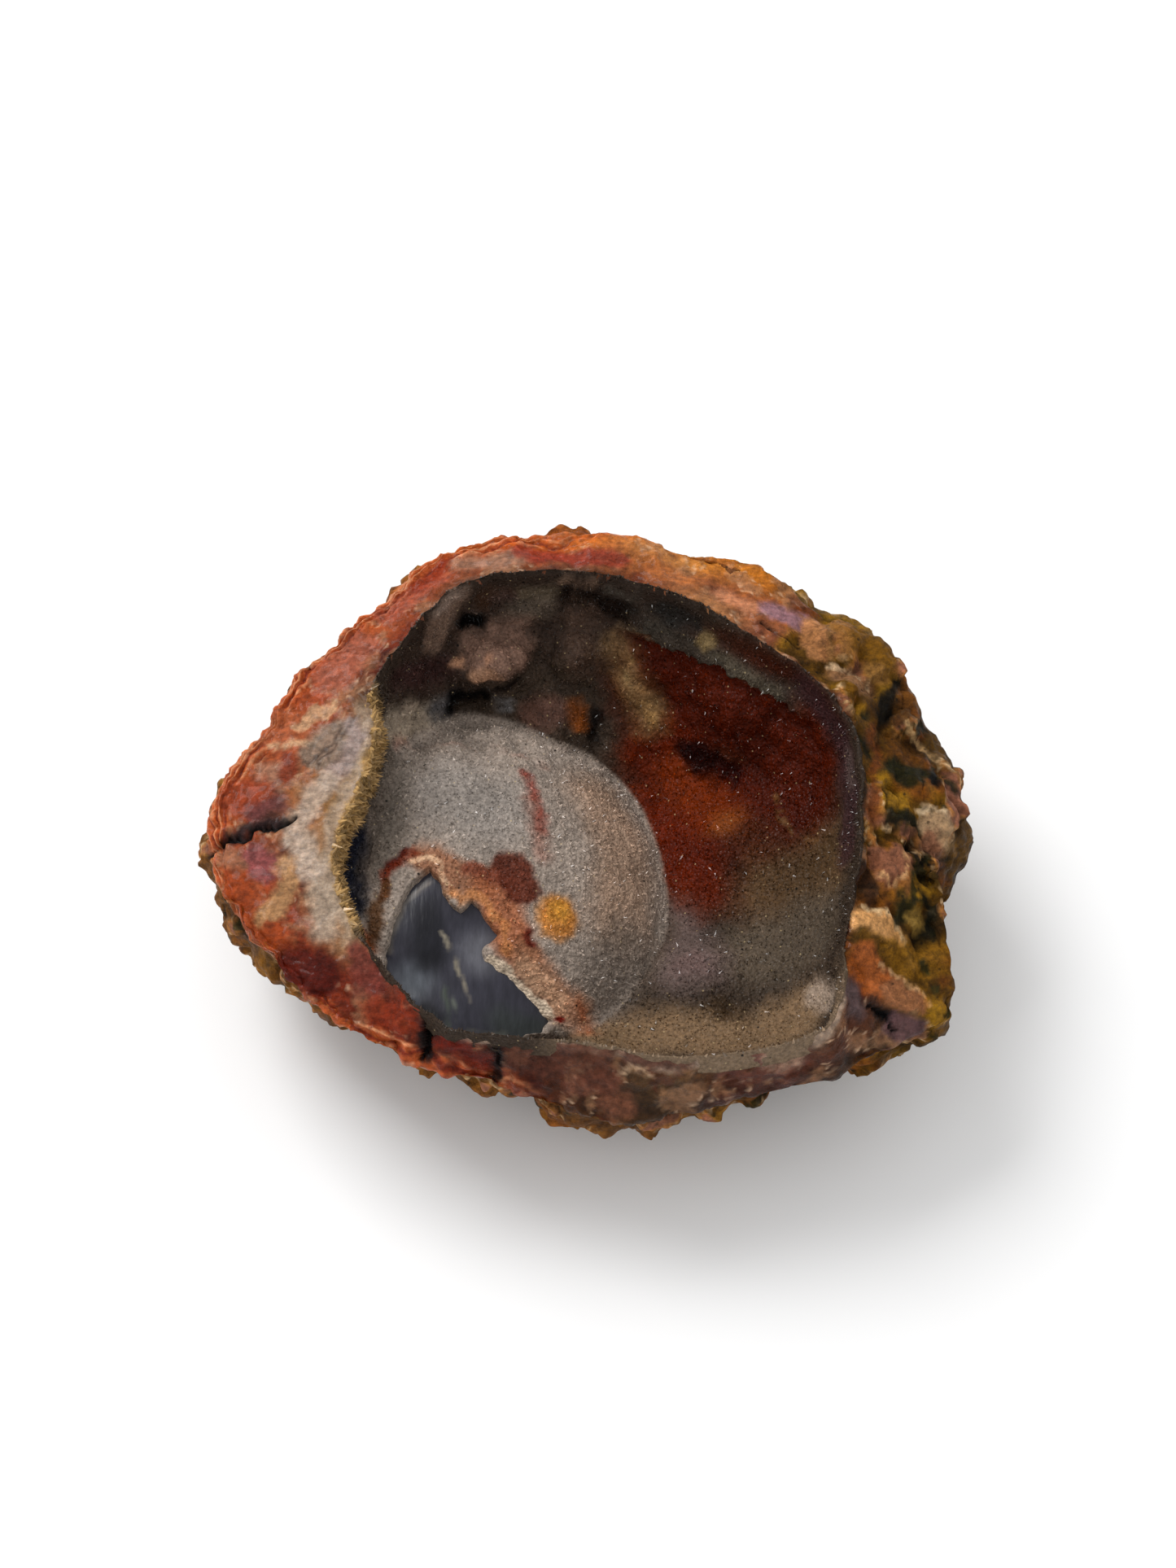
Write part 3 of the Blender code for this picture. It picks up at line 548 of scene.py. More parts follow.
def sphere(name, subdivisions):
    """A round of even triangles to start a stone surface from, and its points' angles and polar degrees."""
    bpy.ops.object.select_all(action="DESELECT")
    bpy.ops.mesh.primitive_ico_sphere_add(subdivisions=subdivisions, radius=1)
    piece = bpy.context.object
    piece.name = piece.data.name = name
    unit = coordinates(piece)
    angle = np.arctan2(unit[:, 1], unit[:, 0]) % math.tau
    polar = np.degrees(np.arccos(np.clip(unit[:, 2] / np.linalg.norm(unit, axis=1), -1, 1)))
    return piece, angle, polar


def coordinates(piece):
    """The piece's points as an array."""
    flat = np.empty(len(piece.data.vertices) * 3, np.float32)
    piece.data.vertices.foreach_get("co", flat)
    return flat.reshape(-1, 3).astype(float)


def place(piece, points):
    """Moves the piece's points to these places in millimetres."""
    piece.data.vertices.foreach_set("co", (points * MM).astype(np.float32).ravel())
    piece.data.update()


def normals(piece):
    """The outward direction at each point."""
    flat = np.empty(len(piece.data.vertices) * 3, np.float32)
    piece.data.vertex_normals.foreach_get("vector", flat)
    return flat.reshape(-1, 3).astype(float)


def raise_by(piece, height):
    """Moves every point along its normal by its own height in millimetres."""
    place(piece, coordinates(piece) / MM + normals(piece) * height[:, None])


def write_field(piece, name, values):
    """Keeps one number a point as an attribute."""
    field = piece.data.attributes.get(name) or piece.data.attributes.new(name, "FLOAT", "POINT")
    field.data.foreach_set("value", values.astype(np.float32))


def read_field(piece, name):
    """One number a point, as written before."""
    values = np.empty(len(piece.data.vertices), np.float32)
    piece.data.attributes[name].data.foreach_get("value", values)
    return values.astype(float)


def write_tint(piece, colours):
    """Keeps one colour a point, in linear light, as the attribute that the materials read."""
    layer = piece.data.color_attributes.new("tint", "FLOAT_COLOR", "POINT")
    opaque = np.ones((len(colours), 4), np.float32)
    opaque[:, :3] = np.clip(colours, 0.0005, 1) ** COLOUR_DEPTH
    layer.data.foreach_set("color", opaque.ravel())


def thin_out(piece, triangles, kept):
    """Takes away triangles where the surface is smooth, down to this many, but none at the kept points."""
    thin = piece.modifiers.new("Fewer triangles", "DECIMATE")
    thin.ratio = triangles / len(piece.data.polygons)
    group = piece.vertex_groups.new(name="thinned")
    group.add(np.nonzero(~kept)[0].tolist(), 1.0, "REPLACE")
    thin.vertex_group = group.name
    bpy.context.view_layer.objects.active = piece
    bpy.ops.object.modifier_apply(modifier=thin.name)
    piece.vertex_groups.clear()


# --- the stone's body ---


def body_form(angle, polar):
    """The body's smooth form in millimetres, and each point's place along the profile."""
    profile = np.interp(polar, BODY_POLAR_DEGREES, (MIDDLE, EDGE, RIM, WAIST, SPOT, UNDER))
    spot = np.stack([SPOT_HALF_X * np.cos(angle), SPOT_HALF_Y * np.sin(angle), 0 * angle], axis=1)
    waist = at_radius(angle, around(WAIST_RADIUS, angle), around(WAIST_HEIGHT, angle))
    rim = at_radius(angle, rim_radius(angle), around(RIM_HEIGHT, angle))
    edge = hollow(angle, np.ones_like(angle))

    inner = hollow(angle, np.minimum(profile, 1))
    face = edge + (with_knobs(rim, SKIN_KNOBS, rim - CORE) - edge) * (profile - EDGE)[:, None]
    turn = (math.pi / 2 * (profile - RIM))[:, None]
    shoulder = waist + (rim - waist) * np.cos(turn)
    shoulder[:, :2] = rim[:, :2] + (waist[:, :2] - rim[:, :2]) * np.sin(turn)
    turn = (math.pi / 2 * (SPOT - profile))[:, None]
    belly = spot + (waist - spot) * np.sin(turn)
    belly[:, 2:] = waist[:, 2:] * (1 - np.cos(turn))
    sole = spot * (UNDER - profile)[:, None]

    points = np.where((profile < EDGE)[:, None], inner, face)
    points = np.where((profile > RIM)[:, None], with_knobs(shoulder, SKIN_KNOBS, shoulder - CORE), points)
    points = np.where((profile > WAIST)[:, None], with_knobs(belly, SKIN_KNOBS, belly - CORE), points)
    return np.where((profile > SPOT)[:, None], sole, points), profile


def rim_distance(angle, profile):
    """Millimetres from the rim: below 0 on the broken face and above 0 down the skin."""
    face_width = around(RIM_RADIUS, angle) - around(HOLLOW_EDGE_RADIUS, angle)
    drop = around(RIM_HEIGHT, angle) - around(WAIST_HEIGHT, angle)
    return (profile - RIM) * np.where(profile < RIM, face_width, 4 + 0.8 * drop)


def crust_share(points, angle, profile):
    """Where the weathered crust is: the skin, and the right-hand part of the broken face."""
    wander = 0.12 * grain(points, 5.0, 31.0) + 0.05 * grain(points, 1.6, 32.0)
    late = 0.45 * between_directions(angle, *UNDER_RIND, 14)
    skin = smoothstep(2.12, 2.3, profile + wander - late)
    sector = between_directions(angle + 0.5 * wander, *CRUSTED_FACE, 2.5)
    return np.maximum(skin, sector * smoothstep(1.0, 1.1, profile + wander))


def chip_pattern(points):
    """Where the crust carries chips of bare chalcedony: those places have values over 0.3."""
    return grain(points, 5.0, 95.0) + 0.3 * grain(points, 1.8, 96.0)


def rind_strips(points, out):
    """The rind's wavy layers, this far from the rim: 1 on each layer and -1 between two of them."""
    phase = math.tau * out / STRIP_WIDTH + 5.0 * grain(points, 5.0, 41.0)
    return np.sin(phase + 1.4 * grain(points, 1.8, 44.0))


def body_relief(points, angle, profile, crust):
    """Height of the body's fine shape over its smooth form, in millimetres."""
    knobbly = 3.0 * lumps(points, 8.0, 11.0) + 1.6 * lumps(points, 3.6, 12.0) + 0.5 * lumps(points, 1.7, 16.0)
    weathered = 0.7 * grain(points, 9.0, 13.0) + knobbly - 2.9 + 0.25 * grain(points, 1.0, 14.0)
    pits = smoothstep(0.28, 0.5, grain(points, 3.2, 15.0))
    weathered += 0.7 * smoothstep(0.28, 0.33, chip_pattern(points)) - 0.9 * pits

    scoops = 0.6 * grain(points, 6.5, 21.0, "VORONOI_F1") + 0.28 * grain(points, 2.8, 22.0, "VORONOI_F1")
    steps = (grain(points, 4.2, 23.0) + 0.3 * grain(points, 1.3, 26.0)) * 3.0
    flakes = np.floor(steps) + smoothstep(0.40, 0.60, steps % 1)
    broken = scoops + 0.22 * flakes + 0.10 * grain(points, 1.0, 24.0) + 0.05 * grain(points, 0.6, 25.0)

    out = rim_distance(angle, profile)
    strips = rind_strips(points, out)
    crumple = lumps(points, 2.0, 42.0) - 0.5
    wander = out + 0.9 * grain(points, 4.0, 43.0)
    rind = smoothstep(-1.5, -0.9, wander) * smoothstep(5.5, 3.5, wander)
    rind *= between_directions(angle, *RIND, 12)

    height = broken + (weathered - broken) * crust + rind * (0.28 * strips + 1.3 * crumple)
    cracked = np.zeros_like(height)
    for half_width, depth, corners in CRACKS:
        off = polyline_distance(jagged(points, 0.45, 1.5, 51.0)[:, :2], corners)
        cracked = np.maximum(cracked, depth * smoothstep(2.2 * half_width, 0.3 * half_width, off))
    on_top = smoothstep(1.02, 1.1, profile) * smoothstep(2.9, 2.6, profile)
    height -= cracked * on_top
    height *= smoothstep(0.995, 1.06, profile) * smoothstep(SPOT, SPOT - 0.1, profile)
    return height, cracked * on_top, rind


def make_body(settings):
    """The whole stone under its druse: broken face, weathered skin and clear chalcedony in the hollow."""
    piece, angle, polar = sphere("stone_body", settings.fineness)
    points, profile = body_form(angle, polar)
    place(piece, points)
    raise_by(piece, -settings.druse_thickness * smoothstep(1.0, 0.96, profile))
    points = coordinates(piece) / MM
    crust = crust_share(points, angle, profile)
    height, cracked, rind = body_relief(points, angle, profile, crust)
    raise_by(piece, height)
    points = coordinates(piece) / MM
    points[:, 2] = np.where(profile >= SPOT, 0, np.maximum(points[:, 2], 0.03))
    place(piece, points)
    for name, values in (("profile", profile), ("relief", height), ("crust", crust),
                         ("cracked", cracked), ("rind", rind)):
        write_field(piece, name, values)
    bare = (profile < EDGE) & (inside_distance(points[:, :2], WINDOW) > -1.0)
    thin_out(piece, settings.triangles, bare)
    piece.data.shade_smooth()
    return piece


# --- the druse lining ---


def lining_form(angle, polar):
    """The lining as a closed thin shell: its top, a hem that dips under the broken face, and its back."""
    share = np.interp(polar, (0, LINING_EDGE_DEGREES, LINING_HEM_DEGREES, 180), (0, 1, LINING_HEM_SHARE, 0))
    equal_area = np.sin(np.radians(np.minimum(polar, LINING_EDGE_DEGREES)) / 2)
    equal_area /= math.sin(math.radians(LINING_EDGE_DEGREES) / 2)
    share = np.where(polar < LINING_EDGE_DEGREES, equal_area, share)
    points = hollow(angle, share)
    back = smoothstep(LINING_EDGE_DEGREES, LINING_HEM_DEGREES, polar)
    points[:, 2] += LINING_LIP * smoothstep(0.93, 0.99, share) - back * LINING_DEPTH
    return points, share, back


def window_depth(points):
    """How far the lining is sunk out of sight where the druse has broken away."""
    plan = jagged(points, 0.35, 1.4, 61.0)[:, :2]
    inside = inside_distance(plan, WINDOW)
    ledge = smoothstep(2.5, 0.5, polyline_distance(plan, LEDGE))
    width = 0.3 + (LEDGE_WIDTH - 0.3) * ledge
    return WINDOW_DEPTH * np.clip(inside / width, 0, 1), inside


def lining_relief(points, angle, share):
    """Height of the druse's fine shape over the smooth hollow, in millimetres."""
    swell = 0.35 * grain(points, 6.0, 71.0) + 0.16 * grain(points, 2.2, 72.0)
    grains = 0.34 * (lumps(points, 0.9, 73.0) - 0.25) + 0.12 * grain(points, 0.5, 74.0)
    far = smoothstep(4, 14, points[:, 1]) * smoothstep(0.3, 0.5, share)
    botryoids = far * 1.0 * (lumps(points, 3.2, 75.0) - 0.3)
    band = between_directions(angle, *BAND, 5)
    lower_edge = BAND_FOOT + 1.2 * grain(points, 4.0, 76.0) + 0.8 * grain(points, 1.3, 77.0)
    band *= smoothstep(-0.25, 0.25, points[:, 2] - lower_edge) * smoothstep(1.0, 0.97, share)
    height = swell + grains + botryoids + 0.75 * band
    return height * smoothstep(1.0, 0.97, share), band


def make_lining(settings):
    """The crust of tiny quartz crystals that covers the hollow, and has come off at the window."""
    piece, angle, polar = sphere("druse_lining", settings.fineness)
    points, share, back = lining_form(angle, polar)
    place(piece, points)
    height, band = lining_relief(points, angle, share)
    depth, inside = window_depth(points)
    raise_by(piece, (height - depth) * (1 - back))
    for name, values in (("share", share), ("back", back), ("relief", height), ("band", band),
                         ("window", inside)):
        write_field(piece, name, values)
    thin_out(piece, settings.triangles, np.zeros(len(points), bool))
    piece.data.shade_smooth()
    return piece


# --- colour ---


def linear(colour):
    """An sRGB hex colour in linear light, as a material or attribute holds it."""
    shares = [int(colour[k : k + 2], 16) / 255 for k in (0, 2, 4)]
    return np.array([s / 12.92 if s <= 0.04045 else ((s + 0.055) / 1.055) ** 2.4 for s in shares])


def blended(tint, colour, share):
    """The tint with this share of a colour laid over it."""
    return tint + (linear(colour) - tint) * share[:, None]


def stained(tint, points, stains, where):
    """The tint with soft stains laid over it one after another, each along its own line of corners."""
    for colour, reach, soft, strength, corners in stains:
        off = polyline_distance(points[:, : len(corners[0])], corners)
        tint = blended(tint, colour, strength * where * smoothstep(reach + soft, reach - soft, off))
    return tint


def face_base(points, angle, profile):
    """Colour of the broken face by direction and by place between the hollow and the skin."""
    rows = [around([linear(colour) for colour in row.split()], angle) for row in FACE_COLOURS]
    wander = 0.16 * grain(points, 4.5, 81.0) + 0.07 * grain(points, 1.5, 82.0)
    place_on_face = np.interp(profile + wander, FACE_COLOUR_PROFILES, range(len(rows)))
    first = np.minimum(place_on_face.astype(int), len(rows) - 2)
    t = (place_on_face - first)[:, None]
    stack = np.stack(rows)
    index = np.arange(len(points))
    return stack[first, index] * (1 - t) + stack[first + 1, index] * t


def crust_colours(points, angle, height):
    """Colour of the weathered crust: olive and ochre with peach and cream chips, darkened as painted shade in
    its pits and lightened as painted light on its knobs.
    """
    broad = grain(points, 7.0, 91.0) + 0.4 * grain(points, 2.5, 92.0)
    tint = np.repeat(linear("7C5C10")[None], len(points), axis=0)
    tint = blended(tint, "9E7C20", smoothstep(0.0, 0.45, broad))
    tint = blended(tint, "5E450C", smoothstep(-0.05, -0.45, broad))
    rusty = grain(points, 9.0, 93.0) + 0.3 * grain(points, 2.0, 94.0)
    tint = blended(tint, "8E5820", 0.7 * smoothstep(0.15, 0.45, rusty))
    tint = blended(tint, "96683A", 0.55 * between_directions(angle, *BACK, 25))
    chips = chip_pattern(points)
    tint = blended(tint, "B8864E", 0.8 * smoothstep(0.28, 0.38, chips))
    tint = blended(tint, "A07262", 0.8 * smoothstep(0.42, 0.5, chips))
    tint = blended(tint, "DCC3A0", 0.85 * smoothstep(0.03, 0.0, np.abs(chips - 0.32)))
    green = grain(points, 3.4, 97.0) + 0.5 * grain(points, 1.2, 98.0)
    tint = blended(tint, "32360F", 0.8 * smoothstep(0.38, 0.46, green))
    moss = grain(points, 1.3, 99.0) + 0.6 * grain(points, 0.6, 100.0)
    tint *= (1 + 0.45 * np.clip(moss, -0.6, 0.9))[:, None]
    # Painted shade and light: the crust is darkened where its relief sinks into pits and made lighter on its
    # raised knobs.
    tint = blended(tint, "241C0C", 0.7 * smoothstep(-0.9, -2.0, height))
    return tint * (1 + 0.25 * np.clip(height, -0.8, 0.8))[:, None]


def paint_body(piece):
    """Lays the stone's colours on the body, from broad zones to single flakes."""
    points = coordinates(piece) / MM
    angle = np.arctan2(points[:, 1], points[:, 0]) % math.tau
    profile, height, crust, rind = (read_field(piece, n) for n in ("profile", "relief", "crust", "rind"))
    ragged = jagged(jagged(points, 0.9, 2.6, 101.0), 0.45, 0.9, 104.0)
    face_width = around(RIM_RADIUS, angle) - around(HOLLOW_EDGE_RADIUS, angle)
    inward = (profile - EDGE) * face_width

    tint = face_base(points, angle, profile) * (1.13, 1.04, 0.64)
    flaky = grain(points, 3.6, 111.0) + 0.5 * grain(points, 1.3, 112.0)
    tint = blended(tint, "A68468", 0.55 * smoothstep(0.22, 0.40, flaky))
    tint = blended(tint, "D9BFA6", 0.6 * smoothstep(0.035, 0.0, np.abs(flaky - 0.25)))
    wine = grain(points, 4.4, 113.0) + 0.4 * grain(points, 1.2, 114.0)
    tint = blended(tint, "5A2014", 0.45 * smoothstep(0.25, 0.5, wine))

    left = between_directions(angle + 0.05 * grain(points, 3.0, 115.0), *LEFT_FACE, 3)
    tint = blended(tint, "A89888", 0.8 * left * smoothstep(3.0, 2.0, inward + 1.8 * flaky))
    tint = blended(tint, "B09468", 0.9 * left * smoothstep(0.8, 0.5, inward + 0.8 * flaky))
    near = between_directions(angle, *NEAR_FACE, 5)
    tint = blended(tint, "AC9C8E", 0.85 * near * smoothstep(1.0, 0.5, inward + 0.4 * flaky))

    out = rim_distance(angle, profile)
    strips = rind_strips(points, out)
    tint = blended(tint, "B8683A", 0.85 * np.clip(rind, 0, 1))
    tint = blended(tint, "7A2C1A", 0.8 * np.clip(rind, 0, 1) * smoothstep(-0.5, -0.9, strips))
    tint = blended(tint, "DDAF8C", 0.7 * np.clip(rind, 0, 1) * smoothstep(0.75, 0.97, strips))

    tint += (crust_colours(points, angle, height) - tint) * crust[:, None]
    on_top = smoothstep(1.0, 1.03, profile) * smoothstep(2.6, 2.2, profile)
    tint = stained(tint, ragged, FACE_STAINS, on_top)
    tint = stained(tint, ragged, SKIN_STAINS, smoothstep(1.9, 2.1, profile)) * (1.1, 1.06, 1.02)
    # Painted shade: the cracks are darkened to near black where they cut into the face.
    tint = blended(tint, "120D0E", 0.9 * smoothstep(0.15, 0.6, read_field(piece, "cracked")))

    clear = smoothstep(1.0, 0.99, profile)
    slate = np.repeat(linear("4C4B54")[None], len(points), axis=0)
    slate = stained(slate, jagged(points, 0.5, 2.0, 121.0), WINDOW_STAINS, np.ones(len(points)))
    slate *= (1 + 0.12 * grain(points, 2.5, 122.0))[:, None]
    write_tint(piece, tint + (slate - tint) * clear[:, None])


def paint_lining(piece):
    """Lays the druse's colours on the lining, region by region, with painted shade in its dips and hollows
    and painted light on its raised grains.
    """
    points = coordinates(piece) / MM
    angle = np.arctan2(points[:, 1], points[:, 0]) % math.tau
    share, height, band = (read_field(piece, n) for n in ("share", "relief", "band"))
    ragged = jagged(jagged(points, 0.8, 2.8, 131.0), 0.4, 1.0, 134.0)
    everywhere = np.ones(len(points))

    tint = np.repeat(linear("52463C")[None], len(points), axis=0)
    tops = [lobe_height(points[:, 0], points[:, 1], lobe) for lobe in (LOBES[0], LOBES[2])]
    over_lobe = points[:, 2] - np.maximum(*tops)
    on_lobe = smoothstep(2.6, 0.9, over_lobe)
    tint = stained(tint, ragged, WALL_STAINS, everywhere)
    tint = blended(tint, "A5998F", on_lobe)
    tint = stained(tint, ragged, LOBE_STAINS, everywhere)
    tint = blended(tint, "4C4A43", 0.85 * band)
    tint = stained(tint, ragged, BAND_STAINS, everywhere)
    left = between_directions(angle, *LEFT_FRINGE, 3)
    tint = blended(tint, "B09468", 0.9 * left * smoothstep(0.978, 0.988, share))
    near = between_directions(angle, *NEAR_FRINGE, 6)
    tint = blended(tint, "A08C76", 0.7 * near * smoothstep(0.972, 0.985, share))
    # Painted light and shade: the druse is lighter on its raised grains and bumps and darker in the dips
    # between them.
    tint *= (1 + 0.55 * np.clip(height, -0.45, 0.45))[:, None]
    write_tint(piece, tint)


# --- materials ---


def add(tree, kind, settings=None, inputs=None):
    """Adds one node: settings are its properties, and inputs are values or other nodes' outputs."""
    node = tree.nodes.new(kind)
    for name, value in (settings or {}).items():
        setattr(node, name, value)
    for name, value in (inputs or {}).items():
        if isinstance(value, bpy.types.NodeSocket):
            tree.links.new(value, node.inputs[name])
        else:
            node.inputs[name].default_value = value
    return node


def per_metre(size):
    """Scale of a pattern on Object coordinates whose features are this many millimetres wide."""
    return 1 / (size * MM)


def opaque(colour):
    """An sRGB hex colour as a colour socket takes it."""
    return (*linear(colour), 1)


def start_material(name, shader_values):
    """A material whose colour starts from the piece's own tint, and the nodes that others join to."""
    material = bpy.data.materials.new(name)
    material.use_nodes = True
    tree = material.node_tree
    shader = tree.nodes["Principled BSDF"]
    for socket, value in shader_values.items():
        shader.inputs[socket].default_value = value
    where = add(tree, "ShaderNodeTexCoord").outputs["Object"]
    tint = add(tree, "ShaderNodeVertexColor", {"layer_name": "tint"}).outputs["Color"]
    return material, tree, shader, where, tint


def mottled(tree, where, tint, size, low, high):
    """The tint made darker and lighter by noise of this size, between these two factors."""
    fine = add(tree, "ShaderNodeTexNoise", None,
               {"Vector": where, "Scale": per_metre(size), "Detail": 3.0, "Roughness": 0.6})
    factor = add(tree, "ShaderNodeMapRange", None,
                 {"Value": fine.outputs["Fac"], "From Min": 0.32, "From Max": 0.68, "To Min": low,
                  "To Max": high})
    return add(tree, "ShaderNodeVectorMath", {"operation": "SCALE"},
               {0: tint, "Scale": factor.outputs["Result"]}).outputs["Vector"]


def spotted(tree, where, tint, spacing, radius, colour, strength):
    """The tint with small round spots of a colour, about this far apart and this big."""
    cells = add(tree, "ShaderNodeTexVoronoi", None, {"Vector": where, "Scale": per_metre(spacing)})
    near = add(tree, "ShaderNodeMapRange", None,
               {"Value": cells.outputs["Distance"], "From Min": 0.6 * radius / spacing,
                "From Max": radius / spacing, "To Min": strength, "To Max": 0.0})
    spots = add(tree, "ShaderNodeMix", {"data_type": "RGBA"},
                {0: near.outputs["Result"], 6: tint, 7: opaque(colour)})
    return spots.outputs[2]


def bumped(tree, shader, height, distance, strength):
    """Joins a height to the shader's normal."""
    bump = add(tree, "ShaderNodeBump", None,
               {"Height": height, "Distance": distance * MM, "Strength": strength})
    tree.links.new(bump.outputs["Normal"], shader.inputs["Normal"])


def varied_roughness(tree, shader, where, size, low, high):
    """Roughness that wanders between two values."""
    noise_node = add(tree, "ShaderNodeTexNoise", None,
                     {"Vector": where, "Scale": per_metre(size), "Detail": 2.0})
    spread = add(tree, "ShaderNodeMapRange", None,
                 {"Value": noise_node.outputs["Fac"], "From Min": 0.35, "From Max": 0.65, "To Min": low,
                  "To Max": high})
    tree.links.new(spread.outputs["Result"], shader.inputs["Roughness"])


def druse_material():
    """Quartz druse, grown as a crust of crystals under half a millimetre: sugary and speckled, with pale
    painted highlights as glints.
    """
    material, tree, shader, where, tint = start_material(
        "quartz druse", {"IOR": 1.544, "Specular IOR Level": 0.1})
    colour = mottled(tree, where, tint, 0.45, 0.7, 1.3)
    # Painted highlights: small pale spots in the colour stand for glints on the crystals.
    colour = spotted(tree, where, colour, 1.3, 0.15, "D8BE8C", 0.4)
    elsewhere = add(tree, "ShaderNodeMapping", None, {"Vector": where, "Location": (0.31, 0.17, 0.05)})
    colour = spotted(tree, elsewhere.outputs["Vector"], colour, 3.4, 0.24, "0A0908", 0.9)
    tree.links.new(colour, shader.inputs["Base Color"])
    crystals = add(tree, "ShaderNodeTexVoronoi", None, {"Vector": where, "Scale": per_metre(0.42)})
    bumped(tree, shader, crystals.outputs["Distance"], -0.22, 0.9)
    facets = add(tree, "ShaderNodeMapRange", None,
                 {"Value": crystals.outputs["Color"], "To Min": 0.16, "To Max": 0.75})
    tree.links.new(facets.outputs["Result"], shader.inputs["Roughness"])
    return material


def face_material():
    """Waxy chalcedony, broken with a shell-like fracture: light sinks in a little, flakes shine softly."""
    material, tree, shader, where, tint = start_material(
        "waxy chalcedony",
        {"IOR": 1.535, "Subsurface Weight": 0.12, "Subsurface Scale": 1.2 * MM,
         "Specular IOR Level": 0.14, "Coat Weight": 0.12, "Coat Roughness": 0.1, "Coat IOR": 1.5})
    shader.inputs["Subsurface Radius"].default_value = (1.0, 0.5, 0.3)
    colour = mottled(tree, where, tint, 0.9, 0.66, 1.34)
    stretched = add(tree, "ShaderNodeMapping", None,
                    {"Vector": where, "Rotation": (0.3, 0.2, 0.7), "Scale": (1.0, 3.2, 1.6)})
    streaks = mottled(tree, stretched.outputs["Vector"], colour, 1.6, 0.8, 1.2)
    tree.links.new(streaks, shader.inputs["Base Color"])
    chips = add(tree, "ShaderNodeTexNoise", None,
                {"Vector": where, "Scale": per_metre(0.7), "Detail": 5.0, "Roughness": 0.65})
    bumped(tree, shader, chips.outputs["Fac"], 0.45, 0.9)
    varied_roughness(tree, shader, where, 2.2, 0.26, 0.52)
    return material


def clear_material():
    """Clear grey chalcedony laid bare where the druse came off: smooth as glass, with faint growth lines."""
    material, tree, shader, where, tint = start_material(
        "clear chalcedony",
        {"IOR": 1.535, "Roughness": 0.25, "Specular IOR Level": 0.3,
         "Coat Weight": 0.15, "Coat Roughness": 0.06, "Coat IOR": 1.5})
    lines = add(tree, "ShaderNodeMapping", None,
                {"Vector": where, "Rotation": (0.0, 0.0, 0.35), "Scale": (1.0, 0.16, 1.0)})
    colour = mottled(tree, lines.outputs["Vector"], tint, 0.8, 0.82, 1.22)
    tree.links.new(colour, shader.inputs["Base Color"])
    ripple = add(tree, "ShaderNodeTexNoise", None,
                 {"Vector": lines.outputs["Vector"], "Scale": per_metre(0.9), "Detail": 2.0})
    bumped(tree, shader, ripple.outputs["Fac"], 0.12, 0.6)
    return material


def crust_material():
    """Weathered rind with iron and manganese stains, never cleaned: dull, gritty and pitted."""
    material, tree, shader, where, tint = start_material(
        "weathered rind", {"IOR": 1.5, "Specular IOR Level": 0.18})
    colour = mottled(tree, where, tint, 0.7, 0.6, 1.4)
    colour = spotted(tree, where, colour, 2.3, 0.26, "0F0E09", 0.6)
    tree.links.new(colour, shader.inputs["Base Color"])
    grit = add(tree, "ShaderNodeTexNoise", None,
               {"Vector": where, "Scale": per_metre(0.6), "Detail": 5.0, "Roughness": 0.7})
    bumped(tree, shader, grit.outputs["Fac"], 0.8, 1.0)
    varied_roughness(tree, shader, where, 2.0, 0.42, 0.82)
    return material


def crystal_material():
    """Tiny clear quartz points, tinted by the druse they stand in: glassy faces that catch the light."""
    material, tree, shader, where, tint = start_material(
        "quartz points", {"IOR": 1.544, "Roughness": 0.16, "Specular IOR Level": 0.5})
    tree.links.new(mottled(tree, where, tint, 0.6, 0.7, 1.4), shader.inputs["Base Color"])
    return material


def paper_material():
    """White studio paper, rolled smooth: matt, so that the stone's shadow lies softly on it."""
    material = bpy.data.materials.new("white paper")
    material.use_nodes = True
    shader = material.node_tree.nodes["Principled BSDF"]
    shader.inputs["Base Color"].default_value = (0.93, 0.93, 0.93, 1)
    shader.inputs["Roughness"].default_value = 0.9
    return material


def finish_body(piece):
    """Gives the body's faces their materials: crust, broken face, or clear chalcedony in the hollow."""
    for material in (face_material(), crust_material(), clear_material()):
        piece.data.materials.append(material)
    corners = np.empty(len(piece.data.loops), np.int32)
    piece.data.loops.foreach_get("vertex_index", corners)
    corners = corners.reshape(-1, 3)
    crust = read_field(piece, "crust")[corners].mean(axis=1)
    profile = read_field(piece, "profile")[corners].mean(axis=1)
    kind = np.where(profile < EDGE, 2, np.where(crust > 0.5, 1, 0))
    piece.data.polygons.foreach_set("material_index", kind.astype(np.int32))


def attach(piece):
    """Hangs the piece under the stone's root body and hides the imported solid that it stands in for."""
    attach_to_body(piece, "root")
    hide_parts(NODE)


# --- quartz points ---


def crystal_shape():
    """One quartz point: a six-sided prism with a pointed cap, from its sunken foot to its tip."""
    bpy.ops.object.select_all(action="DESELECT")
    bpy.ops.mesh.primitive_cone_add(vertices=6, radius1=1.0, radius2=0.0, depth=2.0, end_fill_type="TRIFAN")
    point = bpy.context.object
    corners = coordinates(point)
    faces = np.array([tuple(face.vertices) for face in point.data.polygons])
    bpy.data.objects.remove(point)
    return corners, faces


